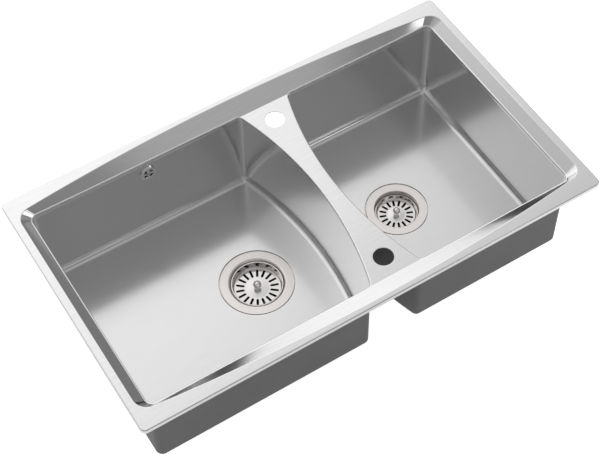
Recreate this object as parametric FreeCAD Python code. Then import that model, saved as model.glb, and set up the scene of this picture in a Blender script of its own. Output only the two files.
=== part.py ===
import FreeCAD, Part
import math
import os
from FreeCAD import Placement, Rotation, Vector

# Stainless steel inset kitchen sink with two bowls and two basket strainer wastes.
# Millimetres. The origin is the centre of the rim outline in the plane of the worktop,
# +X runs along the length (the large bowl is at -X), +Y to the back and +Z up.

# Rim and deck
RIM_LENGTH = 870.0
RIM_WIDTH = 500.0
RIM_CORNER_RADIUS = 9.0
RIM_EDGE_RADIUS = 2.0
RIM_RISE = 8.0
SHEET = 1.0
FLANGE_END_WIDTH = 14.0
FLANGE_MIDDLE_WIDTH = 10.0
FLANGE_BOW = 25.0
FLANGE_CORNER_RADIUS = 25.0
FLANGE_BEND_RADIUS = 3.0
BAND_END_RUN = 19.5
BAND_MIDDLE_RUN = 32.8
RECESS_DROP = 15.4
COLLAR_HEIGHT = 6.0
TAP_HOLE_DIAMETER = 35.0
TAP_HOLE_INSET = 37.0

# Bowls and the bridge between them
BRIDGE_CENTRE = 51.6
BRIDGE_WAIST = 29.4
BRIDGE_EDGE_RADIUS = 650.0
BRIDGE_CORNER_RADIUS = 10.0
BOWL_CORNER_RADIUS = 12.0
BOWL_DEPTH = 194.0
FLOOR_BEND_RADIUS = 10.0

# Rim seal and sound pads
SEAL_GAP = 0.2
SEAL_WIDTH = 6.0
SEAL_INNER_CORNER_RADIUS = 2.0
PAD_THICKNESS = 3.0
PAD_MARGIN = 14.0
PAD_CORNER_RADIUS = 8.0
PAD_WASTE_GAP = 22.0
PAD_WIDTH = 300.0

# Basket strainer wastes, one set of sizes for each bowl
LARGE_WASTE_SETBACK = 131.0
LARGE_FLANGE_DIAMETER = 132.0
LARGE_WELL_DIAMETER = 94.4
LARGE_LIP_RADIUS = 4.5
LARGE_BASKET_DROP = 3.8
LARGE_PLATE_DROP = 18.4
LARGE_SLOT_COUNT = 18
LARGE_SLOT_START_RADIUS = 23.0
LARGE_SLOT_END_RADIUS = 38.5
LARGE_BALL_DIAMETER = 14.6
LARGE_BALL_HEIGHT = 10.5
LARGE_STOPPER_DIAMETER = 54.0
SMALL_WASTE_SETBACK = 134.7
SMALL_FLANGE_DIAMETER = 112.0
SMALL_WELL_DIAMETER = 80.0
SMALL_LIP_RADIUS = 1.6
SMALL_BASKET_DROP = 8.8
SMALL_PLATE_DROP = 17.2
SMALL_SLOT_COUNT = 16
SMALL_SLOT_START_RADIUS = 18.2
SMALL_SLOT_END_RADIUS = 31.4
SMALL_BALL_DIAMETER = 13.0
SMALL_BALL_HEIGHT = 11.3
SMALL_STOPPER_DIAMETER = 44.0

# Sizes that both wastes share
FLUSH_DROP = 0.3
STRAINER_SHEET = 1.2
FLANGE_EDGE_ROUNDING = 0.5
FLANGE_SEAL_THICKNESS = 1.5
FLANGE_SEAL_MARGIN = 2.0
FLANGE_GAP = 1.0
RECESS_EDGE_RADIUS = 0.8
HOLE_CLEARANCE = 1.8
UNDER_SEAL_THICKNESS = 3.0
UNDER_SEAL_MARGIN = 1.0
SHOULDER_SLOPE = 0.35
OUTLET_HOLE_COUNT = 6
OUTLET_HOLE_MARGIN = 2.5
BODY_CLEARANCE = 1.0
BODY_WALL = 3.0
BODY_FLANGE_WIDTH = 13.0
BODY_FLANGE_THICKNESS = 4.0
BODY_EDGE_ROUNDING = 1.0
FUNNEL_HEIGHT = 8.0
OUTLET_THREAD_DIAMETER = 47.8
OUTLET_WALL = 4.0
OUTLET_LENGTH = 28.0
OUTLET_CHAMFER = 1.5
SPIDER_HEIGHT = 11.0
SPIDER_RIB = 3.0
SPIDER_RIB_COUNT = 4
SPIDER_TURN = 45.0
SPIDER_GAP = 0.5
BOSS_WALL = 2.0
INSERT_DIAMETER = 12.0
SCREW_DIAMETER = 8.0
SCREW_HEAD_DIAMETER = 12.0
SCREW_HEAD_FLOOR = 1.5
SCREW_HEAD_ROUNDING = 0.5
SCREW_TIP = 3.0
SCREW_CLEARANCE = 0.05
SCREW_HOLE_CLEARANCE = 0.2

# Baskets, their knobs, stems and stoppers
BASKET_CLEARANCE = 0.8
BASKET_SHEET = 0.8
BASKET_BEAD_HEIGHT = 2.4
BASKET_BEAD_WIDTH = 1.6
BASKET_BEAD_ROUNDING = 0.7
BASKET_TAPER = 1.5
BASKET_BEND_RADIUS = 3.0
DOME_RISE = 0.8
DOME_MARGIN = 2.0
DOME_TOP_RADIUS = 6.5
SLOT_WIDTH = 4.4
SIDE_SLOT_COUNT = 14
SIDE_SLOT_WIDTH = 5.0
SIDE_SLOT_HEIGHT = 2.2
SIDE_SLOT_DROP = 1.0
NECK_DIAMETER = 5.6
KNOB_COLLAR_DIAMETER = 11.0
KNOB_COLLAR_HEIGHT = 0.8
KNOB_STUD_DIAMETER = 5.0
KNOB_STUD_LENGTH = 7.0
STEM_SHOULDER_DIAMETER = 12.0
STEM_SHOULDER_LENGTH = 8.1
STEM_GROOVE_DIAMETER = 8.0
STEM_RETAINER_LENGTH = 1.5
STEM_FIT_CLEARANCE = 0.05
STOPPER_THICKNESS = 4.0
STOPPER_EDGE_CHAMFER = 1.0
STOPPER_OVERLAP = 3.0
STOPPER_SEAT_GAP = 0.35
GUIDE_PIN_DIAMETER = 6.0
GUIDE_PIN_LENGTH = 11.0
GUIDE_PIN_CLEARANCE = 0.1
GUIDE_PIN_CHAMFER = 0.8
STEM_END_GAP = 1.0

# Overflow through the back wall of the large bowl
OVERFLOW_CENTRE_INSET = 218.5
OVERFLOW_DROP = 43.0
OVERFLOW_HOLE_DIAMETER = 22.0
ROSETTE_DIAMETER = 30.0
ROSETTE_HEIGHT = 3.4
ROSETTE_SHEET = 1.2
ROSETTE_ROUNDING = 1.0
ROSETTE_SLOT_COUNT = 4
ROSETTE_SLOT_INNER_RADIUS = 5.6
ROSETTE_SLOT_OUTER_RADIUS = 9.6
ROSETTE_SLOT_ANGLE = 56.0
ROSETTE_SLOT_TURN = 45.0
OVERFLOW_SCREW_DIAMETER = 5.0
OVERFLOW_SCREW_HEAD_DIAMETER = 8.6
OVERFLOW_SCREW_HEAD_HEIGHT = 1.6
OVERFLOW_SCREW_ROUNDING = 0.8
OVERFLOW_SCREW_SLOT = 1.0
OVERFLOW_SCREW_SLOT_LENGTH = 5.0
OVERFLOW_SCREW_LENGTH = 20.0
OVERFLOW_SEAL_THICKNESS = 2.0
ELBOW_FLANGE_DIAMETER = 38.0
ELBOW_FLANGE_THICKNESS = 3.0
ELBOW_DIAMETER = 31.0
ELBOW_DEPTH = 22.0
ELBOW_WALL = 2.5
ELBOW_BOSS_DIAMETER = 10.0
ELBOW_BOSS_INSET = 4.0
SPIGOT_DIAMETER = 20.0
SPIGOT_BORE_DIAMETER = 15.0
SPIGOT_LENGTH = 30.0
WASTE_SPIGOT_DROP = 8.0

# Swing clips that clamp the sink under the worktop
CLIP_CORNER_INSET = 80.0
BRACKET_WIDTH = 24.0
BRACKET_HEIGHT = 22.0
BRACKET_SHEET = 1.5
BRACKET_DROP = 2.6
BRACKET_REACH = 17.0
CLIP_BOLT_OFFSET = 10.0
CLIP_BOLT_DIAMETER = 6.0
CLIP_BOLT_HEAD_DIAMETER = 10.0
CLIP_BOLT_HEAD_HEIGHT = 2.5
CLIP_BOLT_ROUNDING = 1.0
CLIP_BOLT_LENGTH = 27.0
CLIP_BOLT_CLEARANCE = 0.1
CLIP_ARM_LENGTH = 26.0
CLIP_ARM_WIDTH = 13.0
CLIP_ARM_THICKNESS = 2.5
CLIP_ARM_DROP = 14.0
CLIP_TIP_LENGTH = 4.0
CLIP_TIP_RISE = 3.5
CLIP_RUNNING_GAP = 0.3
CLIP_NUT_WIDTH = 10.0
CLIP_NUT_HEIGHT = 5.0

# Levels and outlines worked out from the sizes above
RIM_TOP = RIM_RISE
RIM_UNDER = RIM_TOP - SHEET
RECESS_TOP = RIM_TOP - RECESS_DROP
COLLAR_BOTTOM = RECESS_TOP - COLLAR_HEIGHT
FLOOR_TOP = RIM_TOP - BOWL_DEPTH
FLOOR_UNDER = FLOOR_TOP - SHEET
FLANGE_END = RIM_LENGTH / 2 - FLANGE_END_WIDTH
FLANGE_MIDDLE = RIM_WIDTH / 2 - FLANGE_MIDDLE_WIDTH
RECESS_END = FLANGE_END - BAND_END_RUN
RECESS_SIDE = FLANGE_MIDDLE - BAND_MIDDLE_RUN
OVERLAP = 1.0
LARGE = -1
SMALL = 1
UP = Vector(0, 0, 1)


def prism(wire, low, high):
    """Solid between two levels over a closed flat wire drawn at level 0."""
    face = Part.Face(wire)
    face.translate(Vector(0, 0, low))
    return face.extrude(Vector(0, 0, high - low))


def cylinder(radius, low, high, x=0.0, y=0.0):
    return Part.makeCylinder(radius, high - low, Vector(x, y, low))


def ring(outer_radius, inner_radius, low, high):
    return cylinder(outer_radius, low, high).cut(cylinder(inner_radius, low - OVERLAP, high + OVERLAP))


def box(x_range, y_range, z_range):
    size = [high - low for low, high in (x_range, y_range, z_range)]
    return Part.makeBox(*size, Vector(x_range[0], y_range[0], z_range[0]))


def vertical_edges(solid, chosen):
    """Edges along Z whose X and Y pass the chosen test."""
    found = []
    for edge in solid.Edges:
        ends = [vertex.Point for vertex in edge.Vertexes]
        if len(ends) == 2 and (ends[0] - ends[1]).cross(UP).Length < 1e-6 and chosen(ends[0]):
            found.append(edge)
    return found


def level_edges(solid, level):
    """Edges that lie wholly in the plane at one level."""
    return [edge for edge in solid.Edges
            if abs(edge.BoundBox.ZMin - level) < 1e-6 and abs(edge.BoundBox.ZMax - level) < 1e-6]


def rounded_block(length, width, corner_radius, low, high, edge_radius=0.0):
    """Box centred on the origin with round corners in plan and, if asked, a round top edge."""
    block = box((-length / 2, length / 2), (-width / 2, width / 2), (low, high))
    block = block.makeFillet(corner_radius, vertical_edges(block, lambda point: True))
    if edge_radius:
        block = block.makeFillet(edge_radius, level_edges(block, high))
    return block


def turned(corners):
    """Solid of revolution about Z. Each corner is (radius, z) or (radius, z, rounding)."""
    joins = []
    for index, corner in enumerate(corners):
        here = Vector(corner[0], 0, corner[1])
        rounding = corner[2] if len(corner) == 3 else 0.0
        if not rounding:
            joins.append((here, None, here))
            continue
        before = corners[index - 1]
        after = corners[(index + 1) % len(corners)]
        to_before = (Vector(before[0], 0, before[1]) - here).normalize()
        to_after = (Vector(after[0], 0, after[1]) - here).normalize()
        half_angle = to_before.getAngle(to_after) / 2
        reach = rounding / math.tan(half_angle)
        bisector = (to_before + to_after).normalize()
        middle = here + bisector * (rounding / math.sin(half_angle) - rounding)
        joins.append((here + to_before * reach, middle, here + to_after * reach))
    edges = []
    for index, (start, middle, end) in enumerate(joins):
        if middle:
            edges.append(Part.Arc(start, middle, end).toShape())
        following = joins[(index + 1) % len(joins)][0]
        if (following - end).Length > 1e-6:
            edges.append(Part.LineSegment(end, following).toShape())
    return Part.Face(Part.Wire(edges)).revolve(Vector(0, 0, 0), UP, 360)


def around(solid, count, start=0.0):
    """Compound of copies of a solid, evenly spaced about Z."""
    copies = []
    for index in range(count):
        copy = solid.copy()
        copy.rotate(Vector(0, 0, 0), UP, start + 360.0 * index / count)
        copies.append(copy)
    return Part.makeCompound(copies)


def arc_through(start, middle, end):
    return Part.Arc(Vector(*start), Vector(*middle), Vector(*end)).toShape()


def line_between(start, end):
    return Part.LineSegment(Vector(*start), Vector(*end)).toShape()


def flange_wire(grow, level):
    """Inner edge of the flange: straight ends, long sides bowed outwards, round corners."""
    end = FLANGE_END + grow
    corner = FLANGE_CORNER_RADIUS + grow
    bow_radius = (FLANGE_END ** 2 + FLANGE_BOW ** 2) / (2 * FLANGE_BOW) + grow
    bow_centre = FLANGE_MIDDLE + grow - bow_radius
    centre_x = end - corner
    centre_y = bow_centre + math.sqrt((bow_radius - corner) ** 2 - centre_x ** 2)
    lean = math.atan2(centre_y - bow_centre, centre_x)
    touch_x = bow_radius * math.cos(lean)
    touch_y = bow_centre + bow_radius * math.sin(lean)
    middle_x = centre_x + corner * math.cos(lean / 2)
    middle_y = centre_y + corner * math.sin(lean / 2)
    return outline_wire(end, centre_y, (middle_x, middle_y), (touch_x, touch_y), FLANGE_MIDDLE + grow, level)


def recess_wire(grow, level):
    """Lower edge of the sloped band: a rectangle with round corners."""
    end = RECESS_END + grow
    side = RECESS_SIDE + grow
    corner = BOWL_CORNER_RADIUS + grow
    diagonal = corner * math.sqrt(0.5)
    middle = (end - corner + diagonal, side - corner + diagonal)
    return outline_wire(end, side - corner, middle, (end - corner, side), side, level)


def outline_wire(end, end_y, corner_middle, side_touch, side_middle, level):
    """Outline of four sides and four corner arcs, alike in its four quarters."""
    middle_x, middle_y = corner_middle
    touch_x, touch_y = side_touch
    edges = [line_between((end, -end_y, level), (end, end_y, level))]
    edges.append(arc_through((end, end_y, level), (middle_x, middle_y, level), (touch_x, touch_y, level)))
    edges.append(side_edge((touch_x, touch_y, level), (0, side_middle, level), (-touch_x, touch_y, level)))
    edges.append(arc_through((-touch_x, touch_y, level), (-middle_x, middle_y, level), (-end, end_y, level)))
    edges.append(line_between((-end, end_y, level), (-end, -end_y, level)))
    edges.append(arc_through((-end, -end_y, level), (-middle_x, -middle_y, level),
                             (-touch_x, -touch_y, level)))
    edges.append(side_edge((-touch_x, -touch_y, level), (0, -side_middle, level), (touch_x, -touch_y, level)))
    edges.append(arc_through((touch_x, -touch_y, level), (middle_x, -middle_y, level), (end, -end_y, level)))
    return Part.Wire(edges)


def side_edge(start, middle, end):
    """A bowed side is an arc, a flat one is a line."""
    if abs(middle[1] - start[1]) < 1e-6:
        return line_between(start, end)
    return arc_through(start, middle, end)


def bowl_prism(side, grow, low, high, bend_radius=0.0):
    """Block with a bowl's plan: straight on three sides, bulging towards the bridge on the fourth."""
    end_x = side * (RECESS_END + grow)
    bulge_x = BRIDGE_CENTRE + side * (BRIDGE_WAIST / 2 - grow)
    radius = BRIDGE_EDGE_RADIUS + grow
    half_width = RECESS_SIDE + grow
    corner_x = bulge_x + side * (radius - math.sqrt(radius ** 2 - half_width ** 2))
    edges = [line_between((end_x, -half_width, 0), (end_x, half_width, 0)),
             line_between((end_x, half_width, 0), (corner_x, half_width, 0)),
             arc_through((corner_x, half_width, 0), (bulge_x, 0, 0), (corner_x, -half_width, 0)),
             line_between((corner_x, -half_width, 0), (end_x, -half_width, 0))]
    block = prism(Part.Wire(edges), low, high)
    block = block.makeFillet(BOWL_CORNER_RADIUS + grow,
                             vertical_edges(block, lambda point: abs(point.x - end_x) < 1e-3))
    block = block.makeFillet(BRIDGE_CORNER_RADIUS + grow,
                             vertical_edges(block, lambda point: abs(point.x - corner_x) < 1e-3))
    if bend_radius:
        block = block.makeFillet(bend_radius + grow, level_edges(block, low))
    return block


def top_deck():
    """Rim flange with its turned-down lip, sloped band, bridge and the collars the bowls are welded to."""
    slope = math.atan2(RECESS_DROP, BAND_END_RUN)
    top_mitre = SHEET * math.tan(slope / 2)
    low_mitre = SHEET * math.tan((math.pi / 2 - slope) / 2)
    rim = rounded_block(RIM_LENGTH, RIM_WIDTH, RIM_CORNER_RADIUS, 0, RIM_TOP, RIM_EDGE_RADIUS)
    under_rim = rounded_block(RIM_LENGTH - 2 * SHEET, RIM_WIDTH - 2 * SHEET, RIM_CORNER_RADIUS - SHEET,
                              -OVERLAP, RIM_UNDER, RIM_EDGE_RADIUS - SHEET)
    band_bottom = RECESS_TOP - low_mitre
    outside_wires = [flange_wire(top_mitre, RIM_UNDER), recess_wire(SHEET, band_bottom)]
    inside_wires = [flange_wire(0, RIM_TOP), recess_wire(0, RECESS_TOP)]
    band_outside = Part.makeLoft(outside_wires, True, True)
    band_inside = Part.makeLoft(inside_wires, True, True)
    bridge_plate = prism(recess_wire(SHEET, 0), RECESS_TOP - SHEET, band_bottom)
    collars = [bowl_prism(side, SHEET, COLLAR_BOTTOM, RECESS_TOP - SHEET) for side in (LARGE, SMALL)]
    openings = [bowl_prism(side, 0, COLLAR_BOTTOM - OVERLAP, RECESS_TOP + OVERLAP)
                for side in (LARGE, SMALL)]
    deck = rim.cut(under_rim).fuse([band_outside, bridge_plate] + collars)
    tap_y = RECESS_SIDE - TAP_HOLE_INSET
    tap_holes = [cylinder(TAP_HOLE_DIAMETER / 2, RECESS_TOP - 2 * SHEET, RECESS_TOP + OVERLAP,
                          BRIDGE_CENTRE, y)
                 for y in (-tap_y, tap_y)]
    deck = deck.cut([band_inside] + openings + tap_holes).removeSplitter()
    bend_edges = [edge for edge in level_edges(deck, RIM_TOP) if edge.BoundBox.YMax < FLANGE_MIDDLE + SHEET
                  and edge.BoundBox.YMin > -FLANGE_MIDDLE - SHEET and edge.BoundBox.XMax < FLANGE_END + SHEET
                  and edge.BoundBox.XMin > -FLANGE_END - SHEET]
    return deck.makeFillet(FLANGE_BEND_RADIUS, bend_edges)


def rim_seal():
    """Soft strip stuck under the flange, just inside the lip."""
    outer = SHEET + SEAL_GAP
    inner = outer + SEAL_WIDTH
    strip = rounded_block(RIM_LENGTH - 2 * outer, RIM_WIDTH - 2 * outer, RIM_CORNER_RADIUS - outer,
                          0, RIM_UNDER, RIM_EDGE_RADIUS - SHEET)
    middle = rounded_block(RIM_LENGTH - 2 * inner, RIM_WIDTH - 2 * inner, SEAL_INNER_CORNER_RADIUS,
                           -OVERLAP, RIM_UNDER + OVERLAP)
    return strip.cut(middle)


class Waste:
    """Radii and levels of one basket strainer waste; levels are measured from the bowl's floor."""

    def __init__(self, name, side, setback, flange_diameter, well_diameter, lip_radius, basket_drop,
                 plate_drop, slot_count, slot_start, slot_end, ball_diameter, ball_height, stopper_diameter):
        self.name = name
        self.centre_x = BRIDGE_CENTRE + side * (BRIDGE_WAIST / 2 + setback)
        self.flange_radius = flange_diameter / 2
        self.well_radius = well_diameter / 2
        self.lip_radius = lip_radius
        self.slot_count = slot_count
        self.slot_start = slot_start
        self.slot_end = slot_end
        self.ball_radius = ball_diameter / 2
        self.stopper_radius = stopper_diameter / 2
        self.throat_radius = self.stopper_radius - STOPPER_OVERLAP
        self.hole_radius = self.well_radius + STRAINER_SHEET + HOLE_CLEARANCE
        self.recess_radius = self.flange_radius + FLANGE_GAP
        self.body_flange_radius = self.hole_radius + BODY_FLANGE_WIDTH
        self.flange_top = -FLUSH_DROP
        self.flange_under = self.flange_top - STRAINER_SHEET
        self.recess_floor = self.flange_under - FLANGE_SEAL_THICKNESS
        self.body_top = self.recess_floor - SHEET - UNDER_SEAL_THICKNESS
        self.basket_top = self.flange_top - basket_drop
        self.plate_top = self.flange_top - plate_drop
        self.plate_under = self.plate_top - BASKET_SHEET
        self.ball_level = self.plate_top + ball_height
        self.basket_radius = self.well_radius - BASKET_CLEARANCE
        self.stem_top = self.plate_under + DOME_RISE
        self.stopper_top = self.stem_top - STEM_SHOULDER_LENGTH
        self.stopper_under = self.stopper_top - STOPPER_THICKNESS
        self.seat_level = self.stopper_under - STOPPER_SEAT_GAP
        self.retainer_under = self.stopper_under - STEM_RETAINER_LENGTH
        self.stem_end = self.retainer_under - GUIDE_PIN_LENGTH
        self.screw_head_top = self.retainer_under - STEM_END_GAP
        self.guide_bottom = self.stem_end - STEM_END_GAP
        self.throat_floor = self.guide_bottom - SCREW_HEAD_FLOOR
        self.throat_under = self.throat_floor - STRAINER_SHEET
        self.spider_top = self.throat_under - SPIDER_GAP
        self.spider_bottom = self.spider_top - SPIDER_HEIGHT
        self.outlet_top = self.spider_bottom - FUNNEL_HEIGHT
        self.outlet_end = self.outlet_top - OUTLET_LENGTH
        self.shoulder_top = self.seat_at(self.well_radius)
        self.shoulder_bottom = self.seat_at(self.throat_radius)
        self.outside_mitre = math.tan((math.pi / 2 - math.atan(SHOULDER_SLOPE)) / 2)

    def seat_at(self, radius):
        """Level of the sloped shoulder that the stopper closes on, at one radius."""
        return self.seat_level + (radius - self.stopper_radius) * SHOULDER_SLOPE

    def placed(self, solid):
        solid.translate(Vector(self.centre_x, 0, FLOOR_TOP))
        return solid


def bowl(side, waste):
    """Folded and welded bowl with a pressed seat and a hole for its waste."""
    shell = bowl_prism(side, SHEET, FLOOR_UNDER, COLLAR_BOTTOM, FLOOR_BEND_RADIUS)
    seat_outside = cylinder(waste.recess_radius + SHEET, waste.recess_floor - SHEET, -SHEET / 2)
    seat_inside = cylinder(waste.recess_radius, waste.recess_floor, OVERLAP)
    hole = cylinder(waste.hole_radius, waste.recess_floor - 2 * SHEET, OVERLAP)
    shell = shell.fuse(waste.placed(seat_outside))
    inside = bowl_prism(side, 0, FLOOR_TOP, COLLAR_BOTTOM + OVERLAP, FLOOR_BEND_RADIUS)
    shell = shell.cut([inside, waste.placed(seat_inside), waste.placed(hole)])
    seat_edge = [edge for edge in level_edges(shell, FLOOR_TOP)
                 if abs(edge.BoundBox.XLength - 2 * waste.recess_radius) < 1e-3]
    return shell.makeFillet(RECESS_EDGE_RADIUS, seat_edge)


def strainer_body(waste):
    """Pressed steel cup: flange on the bowl's floor, well, stopper seat and slotted bottom."""
    bore = SCREW_DIAMETER / 2 + SCREW_HOLE_CLEARANCE
    well = waste.well_radius
    throat = waste.throat_radius
    drop = STRAINER_SHEET * waste.outside_mitre
    cup = turned([(waste.flange_radius, waste.flange_top, FLANGE_EDGE_ROUNDING),
                  (well, waste.flange_top, waste.lip_radius),
                  (well, waste.shoulder_top),
                  (throat, waste.shoulder_bottom),
                  (throat, waste.throat_floor),
                  (bore, waste.throat_floor),
                  (bore, waste.throat_under),
                  (throat + STRAINER_SHEET, waste.throat_under),
                  (throat + STRAINER_SHEET, waste.shoulder_bottom - drop),
                  (well + STRAINER_SHEET, waste.shoulder_top - drop),
                  (well + STRAINER_SHEET, waste.flange_under, waste.lip_radius - STRAINER_SHEET),
                  (waste.flange_radius, waste.flange_under)])
    head_radius = SCREW_HEAD_DIAMETER / 2
    hole_radius = (throat - head_radius) / 2 - OUTLET_HOLE_MARGIN
    hole = cylinder(hole_radius, waste.throat_under - OVERLAP, waste.throat_floor + OVERLAP,
                    (throat + head_radius) / 2)
    return cup.cut(around(hole, OUTLET_HOLE_COUNT))


def flange_seal(waste):
    inner = waste.well_radius + waste.lip_radius + FLANGE_SEAL_MARGIN
    return ring(waste.flange_radius - FLANGE_SEAL_MARGIN, inner, waste.recess_floor, waste.flange_under)


def under_seal(waste):
    return ring(waste.body_flange_radius - UNDER_SEAL_MARGIN, waste.hole_radius + UNDER_SEAL_MARGIN,
                waste.body_top, waste.recess_floor - SHEET)


def waste_body(waste):
    """Moulded outlet under the bowl, with a spider for the centre screw and a threaded tail."""
    clear = STRAINER_SHEET + BODY_CLEARANCE
    well = waste.well_radius + clear
    throat = waste.throat_radius + clear
    inner_drop = clear * waste.outside_mitre
    outer_drop = (clear + BODY_WALL) * waste.outside_mitre
    tail = OUTLET_THREAD_DIAMETER / 2
    flange_under = waste.body_top - BODY_FLANGE_THICKNESS
    body = turned([(waste.body_flange_radius, waste.body_top),
                   (waste.body_flange_radius, flange_under, BODY_EDGE_ROUNDING),
                   (well + BODY_WALL, flange_under),
                   (well + BODY_WALL, waste.shoulder_top - outer_drop),
                   (throat + BODY_WALL, waste.shoulder_bottom - outer_drop),
                   (throat + BODY_WALL, waste.spider_bottom),
                   (tail, waste.outlet_top),
                   (tail, waste.outlet_end + OUTLET_CHAMFER),
                   (tail - OUTLET_CHAMFER, waste.outlet_end),
                   (tail - OUTLET_WALL, waste.outlet_end),
                   (tail - OUTLET_WALL, waste.outlet_top),
                   (throat, waste.spider_bottom),
                   (throat, waste.shoulder_bottom - inner_drop),
                   (well, waste.shoulder_top - inner_drop),
                   (well, waste.body_top)])
    boss_radius = INSERT_DIAMETER / 2 + BOSS_WALL
    rib = box((0, throat + BODY_WALL / 2), (-SPIDER_RIB / 2, SPIDER_RIB / 2),
              (waste.spider_bottom, waste.spider_top))
    spider = cylinder(boss_radius, waste.spider_bottom, waste.spider_top)
    body = body.fuse([spider] + around(rib, SPIDER_RIB_COUNT, SPIDER_TURN).Solids)
    return body.cut(cylinder(INSERT_DIAMETER / 2, waste.spider_bottom - OVERLAP, waste.spider_top + OVERLAP))


def waste_body_with_spigot(waste):
    """The large bowl's outlet also takes the overflow hose on a side spigot."""
    level = waste.body_top - BODY_FLANGE_THICKNESS - WASTE_SPIGOT_DROP
    wall = waste.well_radius + STRAINER_SHEET + BODY_CLEARANCE
    reach = waste.body_flange_radius + SPIGOT_LENGTH
    along = Vector(0, 1, 0)
    spigot = Part.makeCylinder(SPIGOT_DIAMETER / 2, reach, Vector(0, 0, level), along)
    bore = Part.makeCylinder(SPIGOT_BORE_DIAMETER / 2, reach + OVERLAP, Vector(0, 0, level), along)
    hollow = cylinder(wall + BODY_WALL / 2, level - SPIGOT_DIAMETER, waste.body_top)
    return waste_body(waste).fuse(spigot.cut(hollow)).cut(bore.cut(cylinder(wall - OVERLAP,
                                                                           level - SPIGOT_DIAMETER,
                                                                           waste.body_top)))


def insert(waste):
    bore = SCREW_DIAMETER / 2 + SCREW_CLEARANCE
    return ring(INSERT_DIAMETER / 2, bore, waste.spider_bottom, waste.spider_top)


def centre_screw(waste):
    """Clamps the cup to the outlet below; its hollow head guides the basket's stem."""
    guide = GUIDE_PIN_DIAMETER / 2 + GUIDE_PIN_CLEARANCE
    shank = SCREW_DIAMETER / 2
    head = SCREW_HEAD_DIAMETER / 2
    return turned([(guide, waste.screw_head_top),
                   (head, waste.screw_head_top, SCREW_HEAD_ROUNDING),
                   (head, waste.throat_floor),
                   (shank, waste.throat_floor),
                   (shank, waste.spider_bottom - SCREW_TIP),
                   (0, waste.spider_bottom - SCREW_TIP),
                   (0, waste.guide_bottom),
                   (guide, waste.guide_bottom)])


def radial_slot(start, end, width, low, high):
    """Round-ended slot along X, cut from one radius to another."""
    half = width / 2
    bar = box((start + half, end - half), (-half, half), (low, high))
    return bar.fuse([cylinder(half, low, high, start + half), cylinder(half, low, high, end - half)])


def basket(waste):
    """Pressed strainer cup with a beaded rim, radial slots in its plate and small side slots."""
    rim = waste.basket_radius
    cup = rim - BASKET_BEAD_WIDTH
    plate = cup - BASKET_TAPER
    bead_under = waste.basket_top - BASKET_BEAD_HEIGHT
    dome = waste.slot_start - DOME_MARGIN
    hole = KNOB_STUD_DIAMETER / 2 + STEM_FIT_CLEARANCE
    shell = turned([(rim, waste.basket_top, BASKET_BEAD_ROUNDING),
                    (rim, bead_under, BASKET_BEAD_ROUNDING),
                    (cup, bead_under),
                    (plate, waste.plate_under, BASKET_BEND_RADIUS),
                    (dome, waste.plate_under),
                    (DOME_TOP_RADIUS, waste.stem_top),
                    (hole, waste.stem_top),
                    (hole, waste.plate_top + DOME_RISE),
                    (DOME_TOP_RADIUS, waste.plate_top + DOME_RISE),
                    (dome, waste.plate_top),
                    (plate - BASKET_SHEET, waste.plate_top, BASKET_BEND_RADIUS - BASKET_SHEET),
                    (cup - BASKET_SHEET, waste.basket_top, BASKET_BEAD_ROUNDING)])
    slot = radial_slot(waste.slot_start, waste.slot_end, SLOT_WIDTH,
                       waste.plate_under - OVERLAP, waste.plate_top + OVERLAP)
    side_top = bead_under - SIDE_SLOT_DROP
    side_slot = box((plate - 2 * BASKET_SHEET, rim), (-SIDE_SLOT_WIDTH / 2, SIDE_SLOT_WIDTH / 2),
                    (side_top - SIDE_SLOT_HEIGHT, side_top))
    return shell.cut([around(slot, waste.slot_count), around(side_slot, SIDE_SLOT_COUNT)])


def basket_knob(waste):
    """Ball on a short neck, with a collar on the plate and a stud that goes through it."""
    foot = waste.plate_top + DOME_RISE
    stud = cylinder(KNOB_STUD_DIAMETER / 2, foot - KNOB_STUD_LENGTH, foot + KNOB_COLLAR_HEIGHT / 2)
    collar = cylinder(KNOB_COLLAR_DIAMETER / 2, foot, foot + KNOB_COLLAR_HEIGHT)
    neck = cylinder(NECK_DIAMETER / 2, foot, waste.ball_level)
    ball = Part.makeSphere(waste.ball_radius, Vector(0, 0, waste.ball_level))
    return ball.fuse([neck, collar, stud])


def basket_stem(waste):
    """Post under the plate: carries the stopper and slides in the centre screw's head."""
    bore = KNOB_STUD_DIAMETER / 2 + STEM_FIT_CLEARANCE
    shoulder = STEM_SHOULDER_DIAMETER / 2
    groove = STEM_GROOVE_DIAMETER / 2
    pin = GUIDE_PIN_DIAMETER / 2
    bore_bottom = waste.stem_top - KNOB_STUD_LENGTH
    return turned([(bore, waste.stem_top),
                   (shoulder, waste.stem_top),
                   (shoulder, waste.stopper_top),
                   (groove, waste.stopper_top),
                   (groove, waste.stopper_under),
                   (shoulder, waste.stopper_under),
                   (shoulder, waste.retainer_under),
                   (pin, waste.retainer_under),
                   (pin, waste.stem_end + GUIDE_PIN_CHAMFER),
                   (pin - GUIDE_PIN_CHAMFER, waste.stem_end),
                   (0, waste.stem_end),
                   (0, bore_bottom),
                   (bore, bore_bottom)])


def stopper(waste):
    """Rubber disc that closes on the sloped shoulder of the cup."""
    groove = STEM_GROOVE_DIAMETER / 2 + STEM_FIT_CLEARANCE
    edge_level = waste.stopper_under + STOPPER_EDGE_CHAMFER
    return turned([(groove, waste.stopper_top),
                   (waste.stopper_radius, waste.stopper_top, STOPPER_EDGE_CHAMFER),
                   (waste.stopper_radius, edge_level),
                   (waste.stopper_radius - STOPPER_EDGE_CHAMFER, waste.stopper_under),
                   (groove, waste.stopper_under)])


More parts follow.
